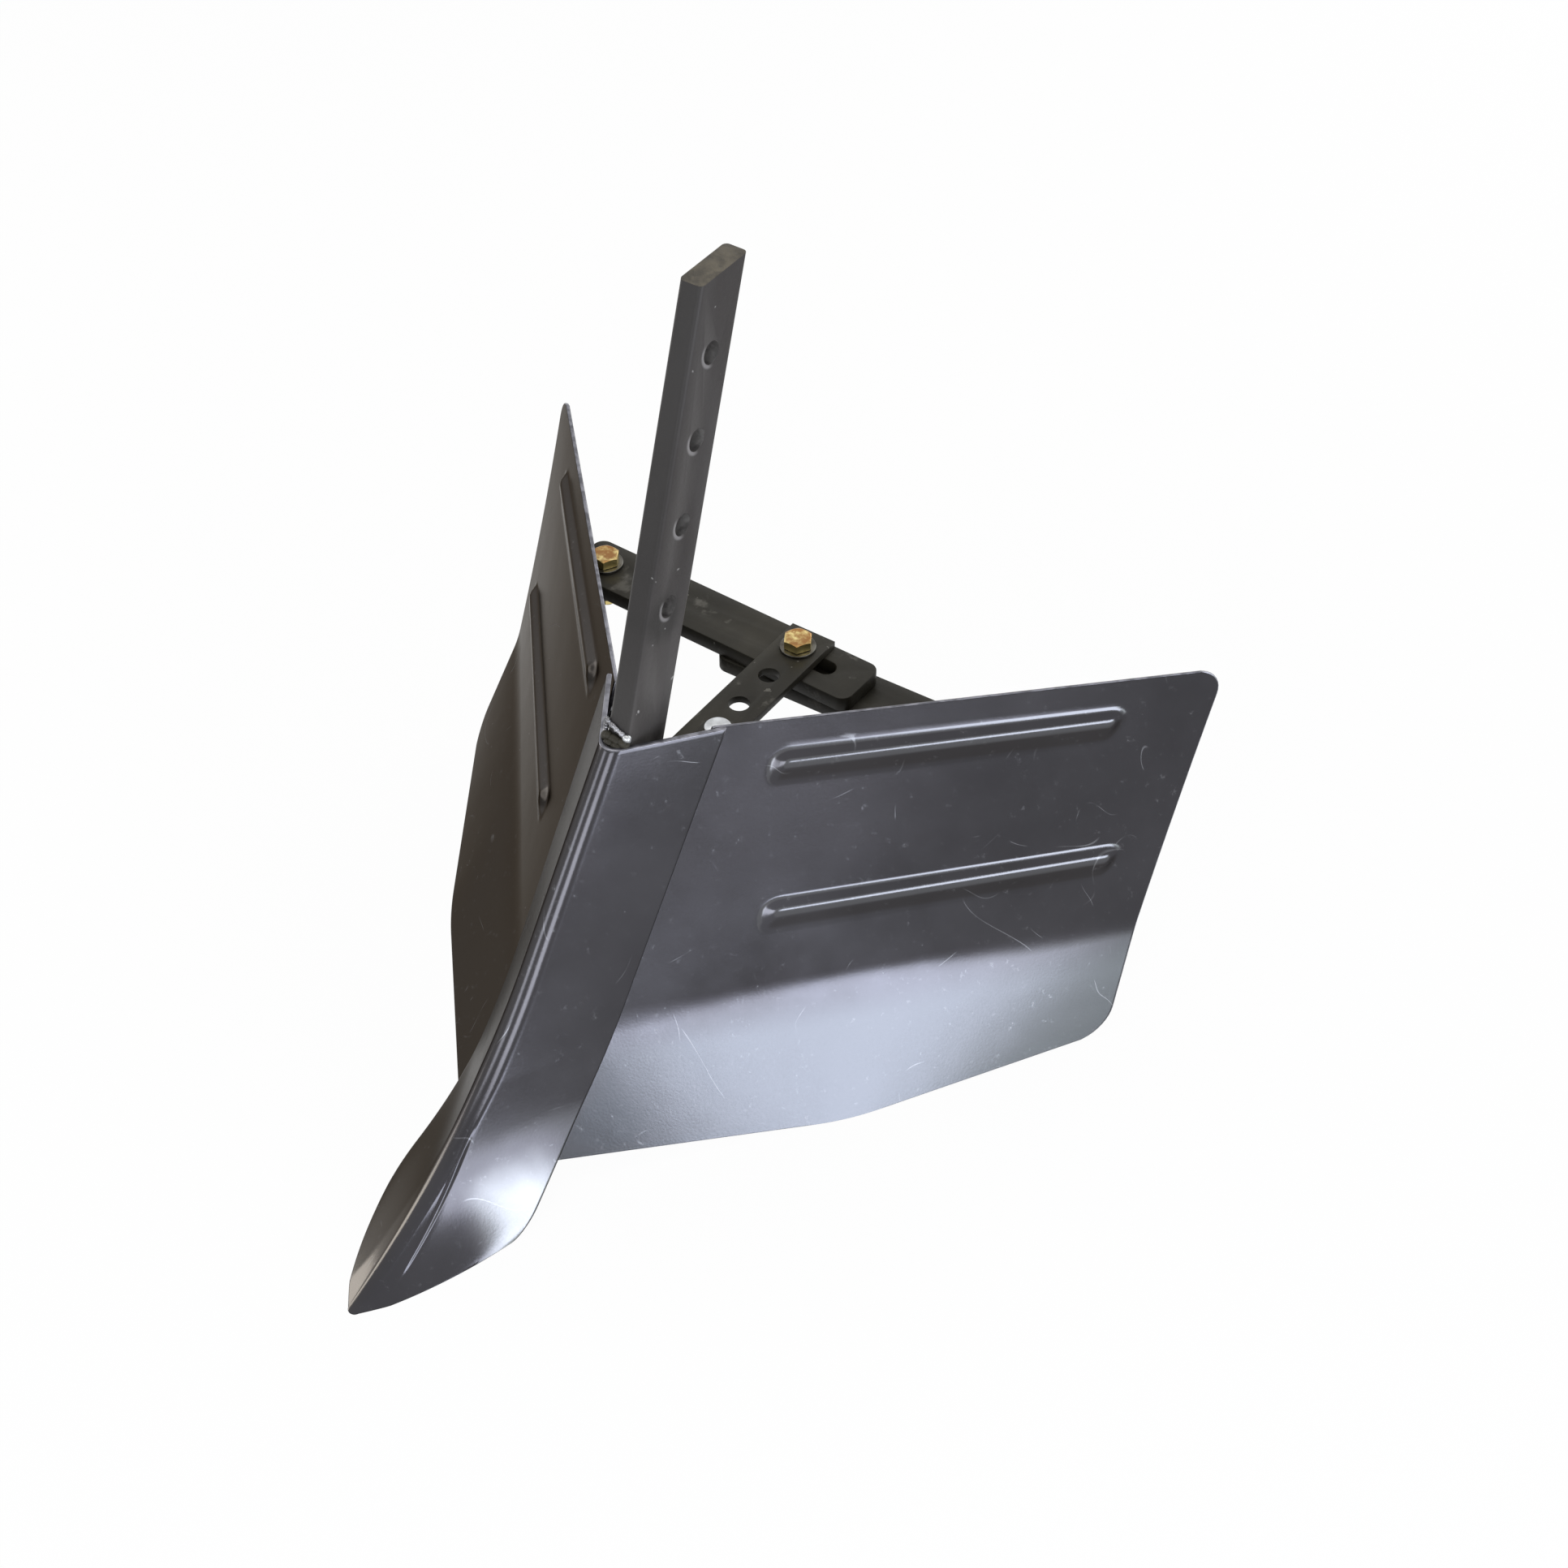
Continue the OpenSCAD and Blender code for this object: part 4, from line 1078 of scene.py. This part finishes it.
def makeSeam(node, outward, atTop):
    # a bead along the edge where a lug or tab meets the inside of its wing
    low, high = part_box(node)
    level = high.z if atTop else low.z
    corners = [vert.co.copy() for vert in cadNodes[node].data.vertices]
    face = [spot for spot in corners if abs(spot.z - level) < seamForm["level"]]
    reach = max(spot.dot(outward) for spot in face) - seamForm["reach"]
    seam = sorted((spot for spot in face if spot.dot(outward) > reach), key=lambda spot: spot.y)
    start, end = (seam[0].lerp(seam[-1], part) + outward * -seamForm["sunk"] for part in seamForm["ends"])
    makeBead(camel(node) + "Weld", node, seamForm["radius"], start, end)


def makeWelds():
    for name, (finish, radius, start, end) in noseWelds.items():
        makeBead(name, "share", radius, start, end, finish)
    for name, (node, slot, radius, start, end) in barWelds.items():
        makeBead(name, node, radius, start, end)
    shape = WingShape()
    for side, sign in sides.items():
        outward = Vector((shape.out.x * sign, shape.out.y, shape.out.z))
        for plate, atTop in (("upper_lug", True), ("lower_lug", True), ("tab", False)):
            makeSeam(side + "_" + plate, outward, atTop)


# floor and world

def whiteForSight(tree):
    # one for the rays that see a surface or its mirror image, nothing for the rays that only carry light
    kinds = ("Is Camera Ray", "Is Glossy Ray", "Is Transmission Ray")
    direct, glossy, through = (tree.node("ShaderNodeLightPath", out=kind) for kind in kinds)
    return tree.math("MAXIMUM", tree.math("MAXIMUM", direct, glossy), through)


def makeFloor():
    f = Finish("paleFloor")
    lit = f.node("ShaderNodeBsdfDiffuse", {}, {"Color": (*floorSetup["colour"], 1.0)})
    white = f.node("ShaderNodeEmission", {}, {"Color": (1, 1, 1, 1), "Strength": 1.0})
    seen = whiteForSight(f) * floorSetup["cameraWhite"]
    shader = f.node("ShaderNodeMixShader", {}, {0: seen, 1: lit, 2: white})
    f.node("ShaderNodeOutputMaterial", {}, {"Surface": shader})
    bm = bmesh.new()
    bmesh.ops.create_grid(bm, x_segments=1, y_segments=1, size=floorSetup["halfSize"])
    mesh = bpy.data.meshes.new("paleFloor")
    bm.to_mesh(mesh)
    bm.free()
    mesh.materials.append(f.material)
    linkToScene(bpy.data.objects.new("paleFloor", mesh))


def makeWorld():
    world = bpy.data.worlds.new("studio")
    world.use_nodes = True
    bpy.context.scene.world = world
    f = Finish("studio", world.node_tree)
    seen = whiteForSight(f)
    strength = seen * (1 - lightSetup["worldFill"]) + lightSetup["worldFill"]
    shader = f.node("ShaderNodeBackground", {}, {"Color": (1, 1, 1, 1), "Strength": strength})
    f.node("ShaderNodeOutputWorld", {}, {"Surface": shader})


bpy.context.scene.view_settings.view_transform = "Standard"
makeCamera()
for lampName in lightSetup["lamps"]:
    makeLamp(lampName)
makeFloor()
makeWorld()
print("camera, lamps and floor made")
makeShare()
print("share made")
for wingSide in sides:
    makeWing(wingSide)
print("wings made")
makeShank()
makeSoftPieces()
makeFasteners()
makeWelds()
print("bars, plates, fasteners and welds made")
